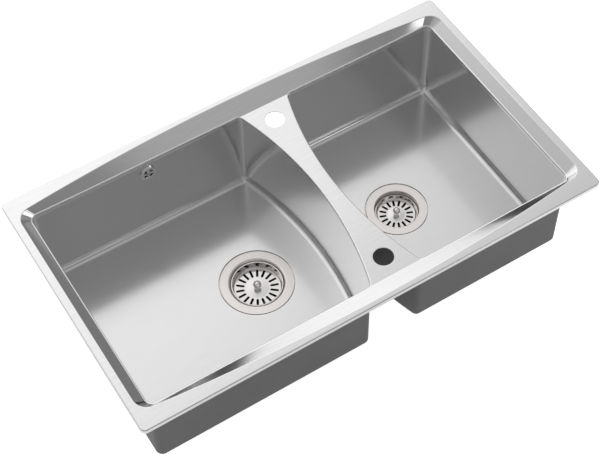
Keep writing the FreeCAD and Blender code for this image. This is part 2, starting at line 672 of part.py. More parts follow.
def sound_pad(side, waste):
    """Rubber mat glued under a bowl, between its end wall and its waste."""
    far = side * (RECESS_END - FLOOR_BEND_RADIUS - PAD_MARGIN)
    near = waste.centre_x + side * (waste.recess_radius + SHEET + PAD_WASTE_GAP)
    length = abs(far - near)
    pad = rounded_block(length, PAD_WIDTH, PAD_CORNER_RADIUS, FLOOR_UNDER - PAD_THICKNESS, FLOOR_UNDER)
    pad.translate(Vector((far + near) / 2, 0, 0))
    return pad


OVERFLOW_X = -RECESS_END + OVERFLOW_CENTRE_INSET


def overflow_place(solid):
    """Turn a solid made about Z (up = into the bowl) to face out of the large bowl's back wall."""
    turn = Rotation(Vector(1, 0, 0), 90)
    place = Placement(Vector(OVERFLOW_X, RECESS_SIDE, RIM_TOP - OVERFLOW_DROP), turn)
    solid.Placement = place.multiply(solid.Placement)
    return solid


def overflow_hole():
    return overflow_place(cylinder(OVERFLOW_HOLE_DIAMETER / 2, -2 * SHEET, SHEET))


def overflow_rosette():
    """Domed cover on the inside of the wall, with curved slots round its screw."""
    radius = ROSETTE_DIAMETER / 2
    hole = OVERFLOW_SCREW_DIAMETER / 2 + SCREW_HOLE_CLEARANCE
    cover = turned([(radius, 0),
                    (radius, ROSETTE_HEIGHT, ROSETTE_ROUNDING + ROSETTE_SHEET),
                    (hole, ROSETTE_HEIGHT),
                    (hole, ROSETTE_HEIGHT - ROSETTE_SHEET),
                    (radius - ROSETTE_SHEET, ROSETTE_HEIGHT - ROSETTE_SHEET, ROSETTE_ROUNDING),
                    (radius - ROSETTE_SHEET, 0)])
    sector = ring(ROSETTE_SLOT_OUTER_RADIUS, ROSETTE_SLOT_INNER_RADIUS, 0, ROSETTE_HEIGHT + OVERLAP)
    spread = 2 * ROSETTE_SLOT_OUTER_RADIUS
    half = math.radians(ROSETTE_SLOT_ANGLE / 2)
    wedge_points = [Vector(0, 0, 0), Vector(spread * math.cos(half), -spread * math.sin(half), 0),
                    Vector(spread * math.cos(half), spread * math.sin(half), 0), Vector(0, 0, 0)]
    wedge = prism(Part.makePolygon(wedge_points), 0, ROSETTE_HEIGHT + OVERLAP)
    return overflow_place(cover.cut(around(sector.common(wedge), ROSETTE_SLOT_COUNT, ROSETTE_SLOT_TURN)))


def overflow_screw():
    head_under = ROSETTE_HEIGHT
    head = OVERFLOW_SCREW_HEAD_DIAMETER / 2
    screw = turned([(0, head_under + OVERFLOW_SCREW_HEAD_HEIGHT),
                    (head, head_under + OVERFLOW_SCREW_HEAD_HEIGHT, OVERFLOW_SCREW_ROUNDING),
                    (head, head_under),
                    (OVERFLOW_SCREW_DIAMETER / 2, head_under),
                    (OVERFLOW_SCREW_DIAMETER / 2, head_under - OVERFLOW_SCREW_LENGTH),
                    (0, head_under - OVERFLOW_SCREW_LENGTH)])
    half = OVERFLOW_SCREW_SLOT / 2
    cross_top = (head_under + OVERFLOW_SCREW_HEAD_HEIGHT / 2, head_under + 2 * OVERFLOW_SCREW_HEAD_HEIGHT)
    reach = OVERFLOW_SCREW_SLOT_LENGTH / 2
    cross = [box((-reach, reach), (-half, half), cross_top), box((-half, half), (-reach, reach), cross_top)]
    return overflow_place(screw.cut(cross))


def overflow_seal():
    return overflow_place(ring(ELBOW_FLANGE_DIAMETER / 2 - UNDER_SEAL_MARGIN,
                               OVERFLOW_HOLE_DIAMETER / 2 + UNDER_SEAL_MARGIN,
                               -SHEET - OVERFLOW_SEAL_THICKNESS, -SHEET))


def overflow_elbow():
    """Moulded box behind the wall; a spigot points down for the overflow hose."""
    face = -SHEET - OVERFLOW_SEAL_THICKNESS
    back = face - ELBOW_DEPTH
    outside = ELBOW_DIAMETER / 2
    inside = outside - ELBOW_WALL
    housing = cylinder(outside, back, face)
    flange = cylinder(ELBOW_FLANGE_DIAMETER / 2, face - ELBOW_FLANGE_THICKNESS, face)
    spigot_level = (face - ELBOW_FLANGE_THICKNESS + back) / 2
    down = Vector(0, -1, 0)
    reach = outside + SPIGOT_LENGTH
    spigot = Part.makeCylinder(SPIGOT_DIAMETER / 2, reach, Vector(0, 0, spigot_level), down)
    bore = Part.makeCylinder(SPIGOT_BORE_DIAMETER / 2, reach + OVERLAP, Vector(0, 0, spigot_level), down)
    hollow = cylinder(inside, back + ELBOW_WALL, face + OVERLAP)
    boss = cylinder(ELBOW_BOSS_DIAMETER / 2, back + ELBOW_WALL / 2, face - ELBOW_BOSS_INSET)
    screw_end = ROSETTE_HEIGHT - OVERFLOW_SCREW_LENGTH - OVERLAP
    screw_hole = cylinder(OVERFLOW_SCREW_DIAMETER / 2 + SCREW_CLEARANCE, screw_end, face)
    return overflow_place(housing.fuse([flange, spigot]).cut([hollow, bore]).fuse(boss).cut(screw_hole))


def clip_stations():
    """Wall point and outward direction (degrees about Z) of each clip, clear of the overflow."""
    side = RECESS_SIDE + SHEET
    end = RECESS_END + SHEET
    corner_x = BRIDGE_CENTRE - BRIDGE_WAIST / 2 - (BRIDGE_EDGE_RADIUS
                                                   - math.sqrt(BRIDGE_EDGE_RADIUS ** 2 - RECESS_SIDE ** 2))
    small_corner_x = 2 * BRIDGE_CENTRE - corner_x
    places = [-RECESS_END + CLIP_CORNER_INSET, (OVERFLOW_X + corner_x) / 2, (small_corner_x + RECESS_END) / 2]
    stations = [(x, -side, -90.0) for x in places]
    stations.append((end, 0.0, 0.0))
    stations += [(x, side, 90.0) for x in reversed(places)]
    stations.append((-end, 0.0, 180.0))
    return stations


def at_station(solid, station):
    """Place a solid made with the wall at X = 0 and outwards along +X."""
    x, y, turn = station
    solid.Placement = Placement(Vector(x, y, 0), Rotation(UP, turn)).multiply(solid.Placement)
    return solid


BRACKET_TOP = COLLAR_BOTTOM - BRACKET_DROP
TAB_UNDER = BRACKET_TOP - BRACKET_SHEET
CLIP_ARM_TOP = TAB_UNDER - CLIP_ARM_DROP
CLIP_ARM_UNDER = CLIP_ARM_TOP - CLIP_ARM_THICKNESS
CLIP_NUT_TOP = CLIP_ARM_UNDER - CLIP_RUNNING_GAP


def clip_bracket():
    """Angle welded to the bowl's wall, with a hole in its tab for the clip's bolt."""
    half = BRACKET_WIDTH / 2
    plate = box((0, BRACKET_SHEET), (-half, half), (BRACKET_TOP - BRACKET_HEIGHT, BRACKET_TOP))
    tab = box((0, BRACKET_REACH), (-half, half), (TAB_UNDER, BRACKET_TOP))
    hole = cylinder(CLIP_BOLT_DIAMETER / 2 + SCREW_CLEARANCE, TAB_UNDER - OVERLAP, BRACKET_TOP + OVERLAP,
                    CLIP_BOLT_OFFSET)
    return plate.fuse(tab).cut(hole)


def clip_bolt():
    radius = CLIP_BOLT_DIAMETER / 2
    bolt = turned([(0, BRACKET_TOP + CLIP_BOLT_HEAD_HEIGHT),
                   (CLIP_BOLT_HEAD_DIAMETER / 2, BRACKET_TOP + CLIP_BOLT_HEAD_HEIGHT, CLIP_BOLT_ROUNDING),
                   (CLIP_BOLT_HEAD_DIAMETER / 2, BRACKET_TOP),
                   (radius, BRACKET_TOP),
                   (radius, BRACKET_TOP - CLIP_BOLT_LENGTH),
                   (0, BRACKET_TOP - CLIP_BOLT_LENGTH)])
    bolt.translate(Vector(CLIP_BOLT_OFFSET, 0, 0))
    return bolt


def clip_nut():
    """Hexagon nut that holds the arm up."""
    corner = CLIP_NUT_WIDTH / math.sqrt(3)
    turns = [math.radians(60 * index) for index in range(7)]
    points = [Vector(corner * math.cos(turn), corner * math.sin(turn), 0) for turn in turns]
    nut = prism(Part.makePolygon(points), CLIP_NUT_TOP - CLIP_NUT_HEIGHT, CLIP_NUT_TOP)
    nut = nut.cut(cylinder(CLIP_BOLT_DIAMETER / 2 + SCREW_CLEARANCE, CLIP_NUT_TOP - CLIP_NUT_HEIGHT - OVERLAP,
                           CLIP_NUT_TOP + OVERLAP))
    nut.translate(Vector(CLIP_BOLT_OFFSET, 0, 0))
    return nut


def clip_arm():
    """Bar that swings out under the worktop; its turned-up tip bites. It lies along the wall here."""
    half = CLIP_ARM_WIDTH / 2
    levels = (CLIP_ARM_UNDER, CLIP_ARM_TOP)
    bar = box((-half, half), (-CLIP_ARM_LENGTH, 0), levels)
    tip = box((-half, half), (-CLIP_ARM_LENGTH, CLIP_TIP_LENGTH - CLIP_ARM_LENGTH),
              (CLIP_ARM_TOP, CLIP_ARM_TOP + CLIP_TIP_RISE))
    hole_radius = CLIP_BOLT_DIAMETER / 2 + CLIP_BOLT_CLEARANCE
    hole = cylinder(hole_radius, CLIP_ARM_UNDER - OVERLAP, CLIP_ARM_TOP + OVERLAP)
    arm = bar.fuse([tip, cylinder(half, *levels)]).cut(hole)
    arm.translate(Vector(CLIP_BOLT_OFFSET, 0, 0))
    return arm


def grouped(make, stations):
    return Part.makeCompound([at_station(make(), station) for station in stations])


def waste_pieces(waste, body):
    """Every piece of one waste, by node name."""
    makers = {"strainer_body": strainer_body, "flange_seal": flange_seal, "under_seal": under_seal,
              "waste_body": body, "insert": insert, "centre_screw": centre_screw, "basket": basket,
              "basket_knob": basket_knob, "basket_stem": basket_stem, "stopper": stopper}
    return {waste.name + "_" + piece: waste.placed(make(waste)) for piece, make in makers.items()}


def build():
    large = Waste("large", LARGE, LARGE_WASTE_SETBACK, LARGE_FLANGE_DIAMETER, LARGE_WELL_DIAMETER,
                  LARGE_LIP_RADIUS, LARGE_BASKET_DROP, LARGE_PLATE_DROP, LARGE_SLOT_COUNT,
                  LARGE_SLOT_START_RADIUS, LARGE_SLOT_END_RADIUS, LARGE_BALL_DIAMETER, LARGE_BALL_HEIGHT,
                  LARGE_STOPPER_DIAMETER)
    small = Waste("small", SMALL, SMALL_WASTE_SETBACK, SMALL_FLANGE_DIAMETER, SMALL_WELL_DIAMETER,
                  SMALL_LIP_RADIUS, SMALL_BASKET_DROP, SMALL_PLATE_DROP, SMALL_SLOT_COUNT,
                  SMALL_SLOT_START_RADIUS, SMALL_SLOT_END_RADIUS, SMALL_BALL_DIAMETER, SMALL_BALL_HEIGHT,
                  SMALL_STOPPER_DIAMETER)
    stations = clip_stations()
    pieces = {"top_deck": top_deck(),
              "large_bowl": bowl(LARGE, large).cut(overflow_hole()),
              "small_bowl": bowl(SMALL, small),
              "rim_seal": rim_seal(),
              "large_sound_pad": sound_pad(LARGE, large),
              "small_sound_pad": sound_pad(SMALL, small),
              "overflow_rosette": overflow_rosette(),
              "overflow_screw": overflow_screw(),
              "overflow_seal": overflow_seal(),
              "overflow_elbow": overflow_elbow(),
              "clip_brackets": grouped(clip_bracket, stations),
              "clip_bolts": grouped(clip_bolt, stations),
              "clip_nuts": grouped(clip_nut, stations)}
    pieces.update(waste_pieces(large, waste_body_with_spigot))
    pieces.update(waste_pieces(small, waste_body))
    for index, station in enumerate(stations, 1):
        pieces["clip_arm_%d" % index] = at_station(clip_arm(), station)
    return pieces


def main():
    os.makedirs("parts", exist_ok=True)
    for node, shape in build().items():
        shape.exportStep("parts/%s.step" % node)
        facts = (node, len(shape.Solids), shape.Volume, shape.isValid())
        print("%-22s solids %2d  volume %12.1f  valid %s" % facts)


main()
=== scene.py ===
# %% [markdown]
# # A double-bowl kitchen sink in brushed steel
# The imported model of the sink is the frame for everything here: its nodes arrive in metres, each
# already in its place. The sheet metal that catches the light is drawn again as smooth surfaces,
# and the small turned and moulded pieces keep their solids and get a finish of their own.

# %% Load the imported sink
import bmesh
import bpy
import numpy as np
from mathutils import Matrix, Vector


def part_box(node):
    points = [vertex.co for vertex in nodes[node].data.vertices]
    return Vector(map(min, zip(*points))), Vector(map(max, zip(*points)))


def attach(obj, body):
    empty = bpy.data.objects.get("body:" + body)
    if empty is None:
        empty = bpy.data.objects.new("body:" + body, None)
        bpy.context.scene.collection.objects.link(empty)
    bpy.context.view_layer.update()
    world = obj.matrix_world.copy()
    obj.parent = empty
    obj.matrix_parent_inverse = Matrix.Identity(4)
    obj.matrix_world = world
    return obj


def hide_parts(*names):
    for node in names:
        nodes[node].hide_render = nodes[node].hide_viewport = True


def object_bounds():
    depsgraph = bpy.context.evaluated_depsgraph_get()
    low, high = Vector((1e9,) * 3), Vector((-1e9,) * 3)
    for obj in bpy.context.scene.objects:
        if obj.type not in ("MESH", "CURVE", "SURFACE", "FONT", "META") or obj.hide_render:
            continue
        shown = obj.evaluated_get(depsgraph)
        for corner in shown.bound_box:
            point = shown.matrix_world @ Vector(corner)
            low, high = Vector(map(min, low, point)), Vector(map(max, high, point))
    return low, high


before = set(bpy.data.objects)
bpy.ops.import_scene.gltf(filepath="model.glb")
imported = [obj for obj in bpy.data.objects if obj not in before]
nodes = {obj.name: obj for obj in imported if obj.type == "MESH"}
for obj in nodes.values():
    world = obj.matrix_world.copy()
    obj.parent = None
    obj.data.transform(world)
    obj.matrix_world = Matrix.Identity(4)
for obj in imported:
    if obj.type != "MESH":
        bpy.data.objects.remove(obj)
cad_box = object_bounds()
print("nodes in the frame:", len(nodes))

# %% [markdown]
# The sizes of the pressed deck and of the two bowls, in metres. Everything that the frame can tell
# is read from it, and only the shape of the pressing is written out. First come the rim, with its
# level flange, and the band that slopes from the flange down to the recess.

# %% Sizes of the rim and the band
MM = 0.001
deck_low, deck_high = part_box("top_deck")
SHEET = 1.0 * MM
RIM_HALF_LENGTH = deck_high.x
RIM_HALF_WIDTH = deck_high.y
RIM_TOP = deck_high.z
RIM_CORNER = 9.0 * MM
RIM_EDGE = 2.0 * MM
END_FLANGE = 14.0 * MM
SIDE_FLANGE = 10.0 * MM
FLANGE_END = RIM_HALF_LENGTH - END_FLANGE
FLANGE_MIDDLE = RIM_HALF_WIDTH - SIDE_FLANGE
FLANGE_BOW = 25.0 * MM
FLANGE_CORNER = 25.0 * MM
FLANGE_BEND = 1.0 * MM
END_BAND = 19.5 * MM
SIDE_BAND = 32.8 * MM
BAND_DROP = 15.4 * MM
RECESS_END = FLANGE_END - END_BAND
RECESS_SIDE = FLANGE_MIDDLE - SIDE_BAND
RECESS_TOP = RIM_TOP - BAND_DROP
print("rim", round(2 * RIM_HALF_LENGTH, 4), "x", round(2 * RIM_HALF_WIDTH, 4))

# %% [markdown]
# Then the bridge between the bowls, the bowls, and the mouth where a bowl meets the deck. A strainer's
# flange is sunk a little below the floor, so that the last of the water runs to it.

# %% Sizes of the bridge and the bowls
LARGE = -1
SMALL = 1
BRIDGE_CENTRE = 51.6 * MM
BRIDGE_HALF_WAIST = 14.7 * MM
BRIDGE_EDGE_RADIUS = 650.0 * MM
BRIDGE_CORNER = 10.0 * MM
TAP_HOLE_RADIUS = 17.5 * MM
TAP_HOLE_INSET = 37.0 * MM
TAP_HOLE_Y = RECESS_SIDE - TAP_HOLE_INSET
STRAINER_SUNK = 0.3 * MM
FLOOR_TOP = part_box("large_strainer_body")[1].z + STRAINER_SUNK
FLOOR_BEND = 10.0 * MM
BOWL_CORNER = 12.0 * MM
COLLAR_BOTTOM = deck_low.z
MOUTH_LAND = 2.4 * MM
MOUTH_EDGE = 1.9 * MM
LAND_BEND = 0.2 * MM
print("floor at", round(FLOOR_TOP, 4))

# %% [markdown]
# ## The camera
# The camera stands where the photographer's did: its place and direction were worked out from the
# corners of the rim and the bowls, whose real sizes are known. A long lens keeps the sides almost
# parallel.

# %% Camera
CAMERA_PLACE = Vector((-0.7424, -1.2416, 1.9781))
CAMERA_FORWARD = Vector((0.2931, 0.4927, -0.8193))
CAMERA_UP = Vector((0.4397, 0.6915, 0.5731))
CAMERA_LENS = 88.07
SENSOR_WIDTH = 36.0


def stand_camera():
    """Camera whose axes are the forward direction, the up direction and their cross product."""
    back = -CAMERA_FORWARD.normalized()
    right = CAMERA_UP.cross(back).normalized()
    up = back.cross(right)
    turn = Matrix((right, up, back)).transposed().to_4x4()
    data = bpy.data.cameras.new("camera")
    data.lens = CAMERA_LENS
    data.sensor_width = SENSOR_WIDTH
    camera = bpy.data.objects.new("camera", data)
    camera.matrix_world = Matrix.Translation(CAMERA_PLACE) @ turn
    bpy.context.scene.collection.objects.link(camera)
    bpy.context.scene.camera = camera
    return camera


camera = stand_camera()
print("camera at", [round(v, 3) for v in camera.location])

# %% [markdown]
# ## Tools for node trees
# The room, the lamp and every finish are built from nodes. The first helper adds a node with its
# settings, its values and its links at once. The second makes a soft step, which serves wherever one
# thing ends and the next begins. The third opens a group of nodes that several trees can share.

# %% Tools for node trees
FLOAT = "NodeSocketFloat"
VECTOR = "NodeSocketVector"


def add_node(tree, kind, settings=None, values=None, links=None):
    """Add a node, set its properties and socket values, and link other sockets to its inputs."""
    node = tree.nodes.new(kind)
    for key, value in (settings or {}).items():
        setattr(node, key, value)
    for key, value in (values or {}).items():
        node.inputs[key].default_value = value
    for key, source in (links or {}).items():
        tree.links.new(source, node.inputs[key])
    return node


def soft_step(tree, source, span):
    """0 to 1 along a span of one coordinate, with eased ends, or 1 to 0 where the span runs backwards."""
    falls = span[0] > span[1]
    step = add_node(tree, "ShaderNodeMapRange", {"interpolation_type": "SMOOTHSTEP"},
                    {"From Min": min(span), "From Max": max(span),
                     "To Min": float(falls), "To Max": float(not falls)},
                    {"Value": source})
    return step.outputs["Result"]


def start_group(name, inputs, outputs):
    """Empty shader node group with named float or vector sockets."""
    group = bpy.data.node_groups.new(name, "ShaderNodeTree")
    for title, kind in inputs:
        group.interface.new_socket(title, in_out="INPUT", socket_type=kind)
    for title, kind in outputs:
        group.interface.new_socket(title, in_out="OUTPUT", socket_type=kind)
    start = group.nodes.new("NodeGroupInput")
    end = group.nodes.new("NodeGroupOutput")
    return group, start, end


print("node tools ready")

# %% [markdown]
# ## The room that the steel mirrors
# Bare steel shows the room more than itself, so the room is part of the look. A large white screen
# stands behind the sink, the room in front of it is dim, and a dark card stands low on the right.
# One number says how far a direction points at the screen, and a colour ramp turns that number into
# brightness.

# %% Brightness of the screen
SCREEN_DIRECTION = Vector((0.0, 0.86, 0.51)).normalized()
ROOM_STEPS = [(-1.0, 0.16), (0.0, 0.20), (0.2, 0.31), (0.56, 0.35), (0.72, 0.42), (0.75, 0.50),
              (0.81, 0.58), (0.84, 0.73), (0.886, 0.76), (0.92, 0.86)]


def screen_ramp(tree, direction):
    """Brightness as a ramp over the cosine between a direction and the screen's."""
    cosine = add_node(tree, "ShaderNodeVectorMath", {"operation": "DOT_PRODUCT"},
                      {1: SCREEN_DIRECTION}, {0: direction})
    share = add_node(tree, "ShaderNodeMapRange", values={"From Min": -1.0},
                     links={"Value": cosine.outputs["Value"]})
    ramp = add_node(tree, "ShaderNodeValToRGB", links={"Fac": share.outputs["Result"]})
    steps = ramp.color_ramp.elements
    while len(steps) < len(ROOM_STEPS):
        steps.new(0.5)
    for step, (cosine_here, level) in zip(steps, ROOM_STEPS):
        step.position = (cosine_here + 1) / 2
        step.color = (level, level, level, 1)
    return ramp.outputs["Color"]


print("screen with", len(ROOM_STEPS), "steps of brightness")

# %% [markdown]
# The card is two soft steps, one to the right and one down, multiplied together. To the camera itself
# the room is plain white, so that no horizon shows behind the paper.

# %% Room
ROOM_STRENGTH = 1.5
CARD_RIGHT = (0.50, 0.72)
CARD_TOP = (0.40, 0.22)
CARD_LEVEL = 0.15
WHITE_LEVEL = 1.0


def over(tree, share, level, under):
    """Lay one even brightness over a colour by a share."""
    blend = add_node(tree, "ShaderNodeMix", {"data_type": "RGBA"}, {"B": (level, level, level, 1)},
                     {"Factor": share, "A": under})
    return blend.outputs["Result"]


def build_room():
    """World whose brightness is the screen's ramp, darkened by the card, and white to the camera."""
    world = bpy.data.worlds.new("room")
    bpy.context.scene.world = world
    world.use_nodes = True
    tree = world.node_tree
    sky = tree.nodes["Background"]
    sky.inputs["Strength"].default_value = ROOM_STRENGTH
    direction = add_node(tree, "ShaderNodeTexCoord").outputs["Generated"]
    parts = add_node(tree, "ShaderNodeSeparateXYZ", links={"Vector": direction}).outputs
    right = soft_step(tree, parts["X"], CARD_RIGHT)
    low = soft_step(tree, parts["Z"], CARD_TOP)
    card = add_node(tree, "ShaderNodeMath", {"operation": "MULTIPLY"}, links={0: right, 1: low})
    seen = add_node(tree, "ShaderNodeLightPath").outputs["Is Camera Ray"]
    colour = over(tree, card.outputs["Value"], CARD_LEVEL, screen_ramp(tree, direction))
    tree.links.new(over(tree, seen, WHITE_LEVEL, colour), sky.inputs["Color"])
    return world


room = build_room()
bpy.context.scene.view_settings.view_transform = "Standard"
print("world:", room.name)

# %% [markdown]
# One lamp stands for the bright thing that the pressed back corners pick out: a wide window in front
# of the sink, on the right. It stands at a real distance, so each corner sees it at its own angle.
# It has two panes, and the far one fades towards the bar between them: the right corner's glint gets
# its soft side from that fade.

# %% Lamp
WINDOW_PLACE = Vector((1.67, -1.56, 0.98))
WINDOW_SIZE = (1.75, 0.7)
WINDOW_POWER = 7.0
FAR_PANE = (0.235, 0.06)
NEAR_PANE = (0.30, 0.40)


def hang_window():
    """Rectangular lamp that faces the sink, dimmed between its two panes."""
    data = bpy.data.lights.new("window", "AREA")
    data.shape = "RECTANGLE"
    data.size, data.size_y = WINDOW_SIZE
    data.energy = WINDOW_POWER
    data.use_nodes = True
    tree = data.node_tree
    place = add_node(tree, "ShaderNodeNewGeometry").outputs["Parametric"]
    across = add_node(tree, "ShaderNodeSeparateXYZ", links={"Vector": place}).outputs["X"]
    far = soft_step(tree, across, FAR_PANE)
    near = soft_step(tree, across, NEAR_PANE)
    panes = add_node(tree, "ShaderNodeMath", {"operation": "ADD"}, links={0: far, 1: near})
    tree.links.new(panes.outputs["Value"], tree.nodes["Emission"].inputs["Strength"])
    lamp = bpy.data.objects.new("window", data)
    lamp.location = WINDOW_PLACE
    lamp.rotation_euler = WINDOW_PLACE.to_track_quat("Z", "Y").to_euler()
    bpy.context.scene.collection.objects.link(lamp)
    return lamp


window = hang_window()
print("lamp:", window.name)

# %% [markdown]
# The sink stands on a sheet of white paper, as small goods do in a studio. A plane is enough.

# %% Floor
FLOOR_HALF = 4.0


def lay_floor():
    """Square sheet at the lowest point of the sink."""
    low = cad_box[0][2]
    corners = [(-FLOOR_HALF, -FLOOR_HALF, low), (FLOOR_HALF, -FLOOR_HALF, low),
               (FLOOR_HALF, FLOOR_HALF, low), (-FLOOR_HALF, FLOOR_HALF, low)]
    mesh = bpy.data.meshes.new("floor")
    mesh.from_pydata(corners, [], [(0, 1, 2, 3)])
    floor = bpy.data.objects.new("floor", mesh)
    bpy.context.scene.collection.objects.link(floor)
    return floor


floor = lay_floor()
print("floor at", round(cad_box[0][2], 4))

# %% [markdown]
# ## Finishes
# Each finish is one material. What several finishes share is kept in node groups: brush lines, the
# rings that a lathe leaves, soft handling marks and a fine speckle. A group gives back numbers
# only, and each material turns them into colour, roughness and bump.
#
# Brushing leaves long fine lines. Noise that is stretched some seventy times along one axis looks like
# them: along X on level sheet, and level on upright sheet, chosen by which way the surface faces.

# %% Brush lines
BRUSH_ALONG = 22.0
FINE_ACROSS = 1600.0
BROAD_ACROSS = 400.0
BRUSH_DETAIL = 3.0
UPRIGHT_TILT = 0.55
LEVEL_TILT = 0.8


def stretched_noise(group, vector, scale):
    """Noise whose grain is drawn out along the axis with the smallest scale."""
    stretch = add_node(group, "ShaderNodeMapping", values={"Scale": scale}, links={"Vector": vector})
    noise = add_node(group, "ShaderNodeTexNoise", values={"Scale": 1.0, "Detail": BRUSH_DETAIL},
                     links={"Vector": stretch.outputs["Vector"]})
    return noise.outputs["Fac"]


def brush_lines():
    """Stretched noise: level faces run along X, upright faces run level."""
    group, start, end = start_group("brush_lines", [("Vector", VECTOR)],
                                    [("Fine", FLOAT), ("Broad", FLOAT)])
    facing = add_node(group, "ShaderNodeNewGeometry")
    parts = add_node(group, "ShaderNodeSeparateXYZ", links={"Vector": facing.outputs["Normal"]})
    tilt = add_node(group, "ShaderNodeMath", {"operation": "ABSOLUTE"}, links={0: parts.outputs["Z"]})
    level = add_node(group, "ShaderNodeMapRange",
                     values={"From Min": UPRIGHT_TILT, "From Max": LEVEL_TILT},
                     links={"Value": tilt.outputs["Value"]})
    for title, across in (("Fine", FINE_ACROSS), ("Broad", BROAD_ACROSS)):
        upright = stretched_noise(group, start.outputs["Vector"], (BRUSH_ALONG, BRUSH_ALONG, across))
        flat = stretched_noise(group, start.outputs["Vector"], (BRUSH_ALONG, across, BRUSH_ALONG))
        chosen = add_node(group, "ShaderNodeMix",
                          links={"Factor": level.outputs["Result"], "A": upright, "B": flat})
        group.links.new(chosen.outputs["Result"], end.inputs[title])
    return group


BRUSH_LINES = brush_lines()
print("group", BRUSH_LINES.name)

# %% [markdown]
# Turned pieces carry rings round their axis instead. The distance from the axis drives the same
# kind of noise, so the rings stay true all the way round. Sprayed and moulded skins have a cloudy tone
# and a fine speckle.

# %% Lathe rings and soft mottling
RING_DETAIL = 4.0
CLOUD = {"Scale": 14.0, "Detail": 5.0, "Roughness": 0.6}
SPECKLE = {"Scale": 1400.0, "Detail": 2.0}


def lathe_rings():
    """Noise over the distance from the local Z axis, with depth added so that walls have rings too."""
    group, start, end = start_group("lathe_rings", [("Vector", VECTOR), ("Scale", FLOAT)],
                                    [("Rings", FLOAT)])
    parts = add_node(group, "ShaderNodeSeparateXYZ", links={"Vector": start.outputs["Vector"]})
    flat = add_node(group, "ShaderNodeCombineXYZ",
                    links={"X": parts.outputs["X"], "Y": parts.outputs["Y"]})
    reach = add_node(group, "ShaderNodeVectorMath", {"operation": "LENGTH"},
                     links={0: flat.outputs["Vector"]})
    path = add_node(group, "ShaderNodeMath", {"operation": "SUBTRACT"},
                    links={0: reach.outputs["Value"], 1: parts.outputs["Z"]})
    noise = add_node(group, "ShaderNodeTexNoise", {"noise_dimensions": "1D"}, {"Detail": RING_DETAIL},
                     {"W": path.outputs["Value"], "Scale": start.outputs["Scale"]})
    group.links.new(noise.outputs["Fac"], end.inputs["Rings"])
    return group


def soft_mottle():
    """Cloudy noise for handling marks, plus a fine speckle for sprayed and moulded skins."""
    group, start, end = start_group("soft_mottle", [("Vector", VECTOR)],
                                    [("Cloud", FLOAT), ("Speckle", FLOAT)])
    for title, values in (("Cloud", CLOUD), ("Speckle", SPECKLE)):
        noise = add_node(group, "ShaderNodeTexNoise", values=values,
                         links={"Vector": start.outputs["Vector"]})
        group.links.new(noise.outputs["Fac"], end.inputs[title])
    return group


LATHE_RINGS = lathe_rings()
SOFT_MOTTLE = soft_mottle()
print("groups", LATHE_RINGS.name, "and", SOFT_MOTTLE.name)

# %% [markdown]
# Every material below starts the same way: object coordinates, moved so that the pattern's own
# origin lies on the piece, go into a group; the group's numbers are spread over a small range of
# tones and of roughness; and a bump node turns the fine pattern into relief. Noise seldom leaves its
# middle range, so that range is what gets spread.

# %% Material parts
NOISE_LOW = 0.3
NOISE_HIGH = 0.7


def start_material(name, origin=(0, 0, 0)):
    """Material with its shader and the object coordinates counted from one point."""
    material = bpy.data.materials.new(name)
    material.use_nodes = True
    tree = material.node_tree
    place = add_node(tree, "ShaderNodeTexCoord")
    move = add_node(tree, "ShaderNodeMapping", values={"Location": [-value for value in origin]},
                    links={"Vector": place.outputs["Object"]})
    return material, tree, tree.nodes["Principled BSDF"], move.outputs["Vector"]


def use_group(tree, group, vector, **values):
    """Outputs of a node group that is fed the piece's coordinates and set values."""
    node = add_node(tree, "ShaderNodeGroup", {"node_tree": group}, values, {"Vector": vector})
    return node.outputs


def spread(tree, pattern, low, high, target):
    """Spread a pattern over a range of values on one socket."""
    node = add_node(tree, "ShaderNodeMapRange",
                    values={"From Min": NOISE_LOW, "From Max": NOISE_HIGH, "To Min": low, "To Max": high},
                    links={"Value": pattern})
    tree.links.new(node.outputs["Result"], target)


def tones(tree, pattern, dark, light, target):
    """Blend two colours by a pattern, for one socket."""
    ramp = add_node(tree, "ShaderNodeValToRGB", links={"Fac": pattern})
    ends = zip(ramp.color_ramp.elements, (NOISE_LOW, NOISE_HIGH), (dark, light))
    for element, position, colour in ends:
        element.position = position
        element.color = (*colour, 1)
    tree.links.new(ramp.outputs["Color"], target)


def relief(tree, pattern, strength, depth, shader):
    """Bump from a pattern, with its depth in metres."""
    bump = add_node(tree, "ShaderNodeBump", values={"Strength": strength, "Distance": depth},
                    links={"Height": pattern})
    tree.links.new(bump.outputs["Normal"], shader.inputs["Normal"])


print("material tools ready")

# %% [markdown]
# Deck and bowls are brushed stainless sheet. In a bowl it mirrors in two ways at once: most light
# leaves in a narrow cone, so edges show in it, and the scratches throw the rest wide, as a haze. One
# rough metal can do only one of the two. Here the shader's metal gives the narrow cone, and its coat,
# with a high index and a rough skin, gives the haze. A bowl's floor is rougher than its walls, so
# what it mirrors has softer edges.

# %% Sheet steel
HAZE_ROUGHNESS = 0.3
HAZE_INDEX = 3.0
BRUSH_BUMP = 0.03


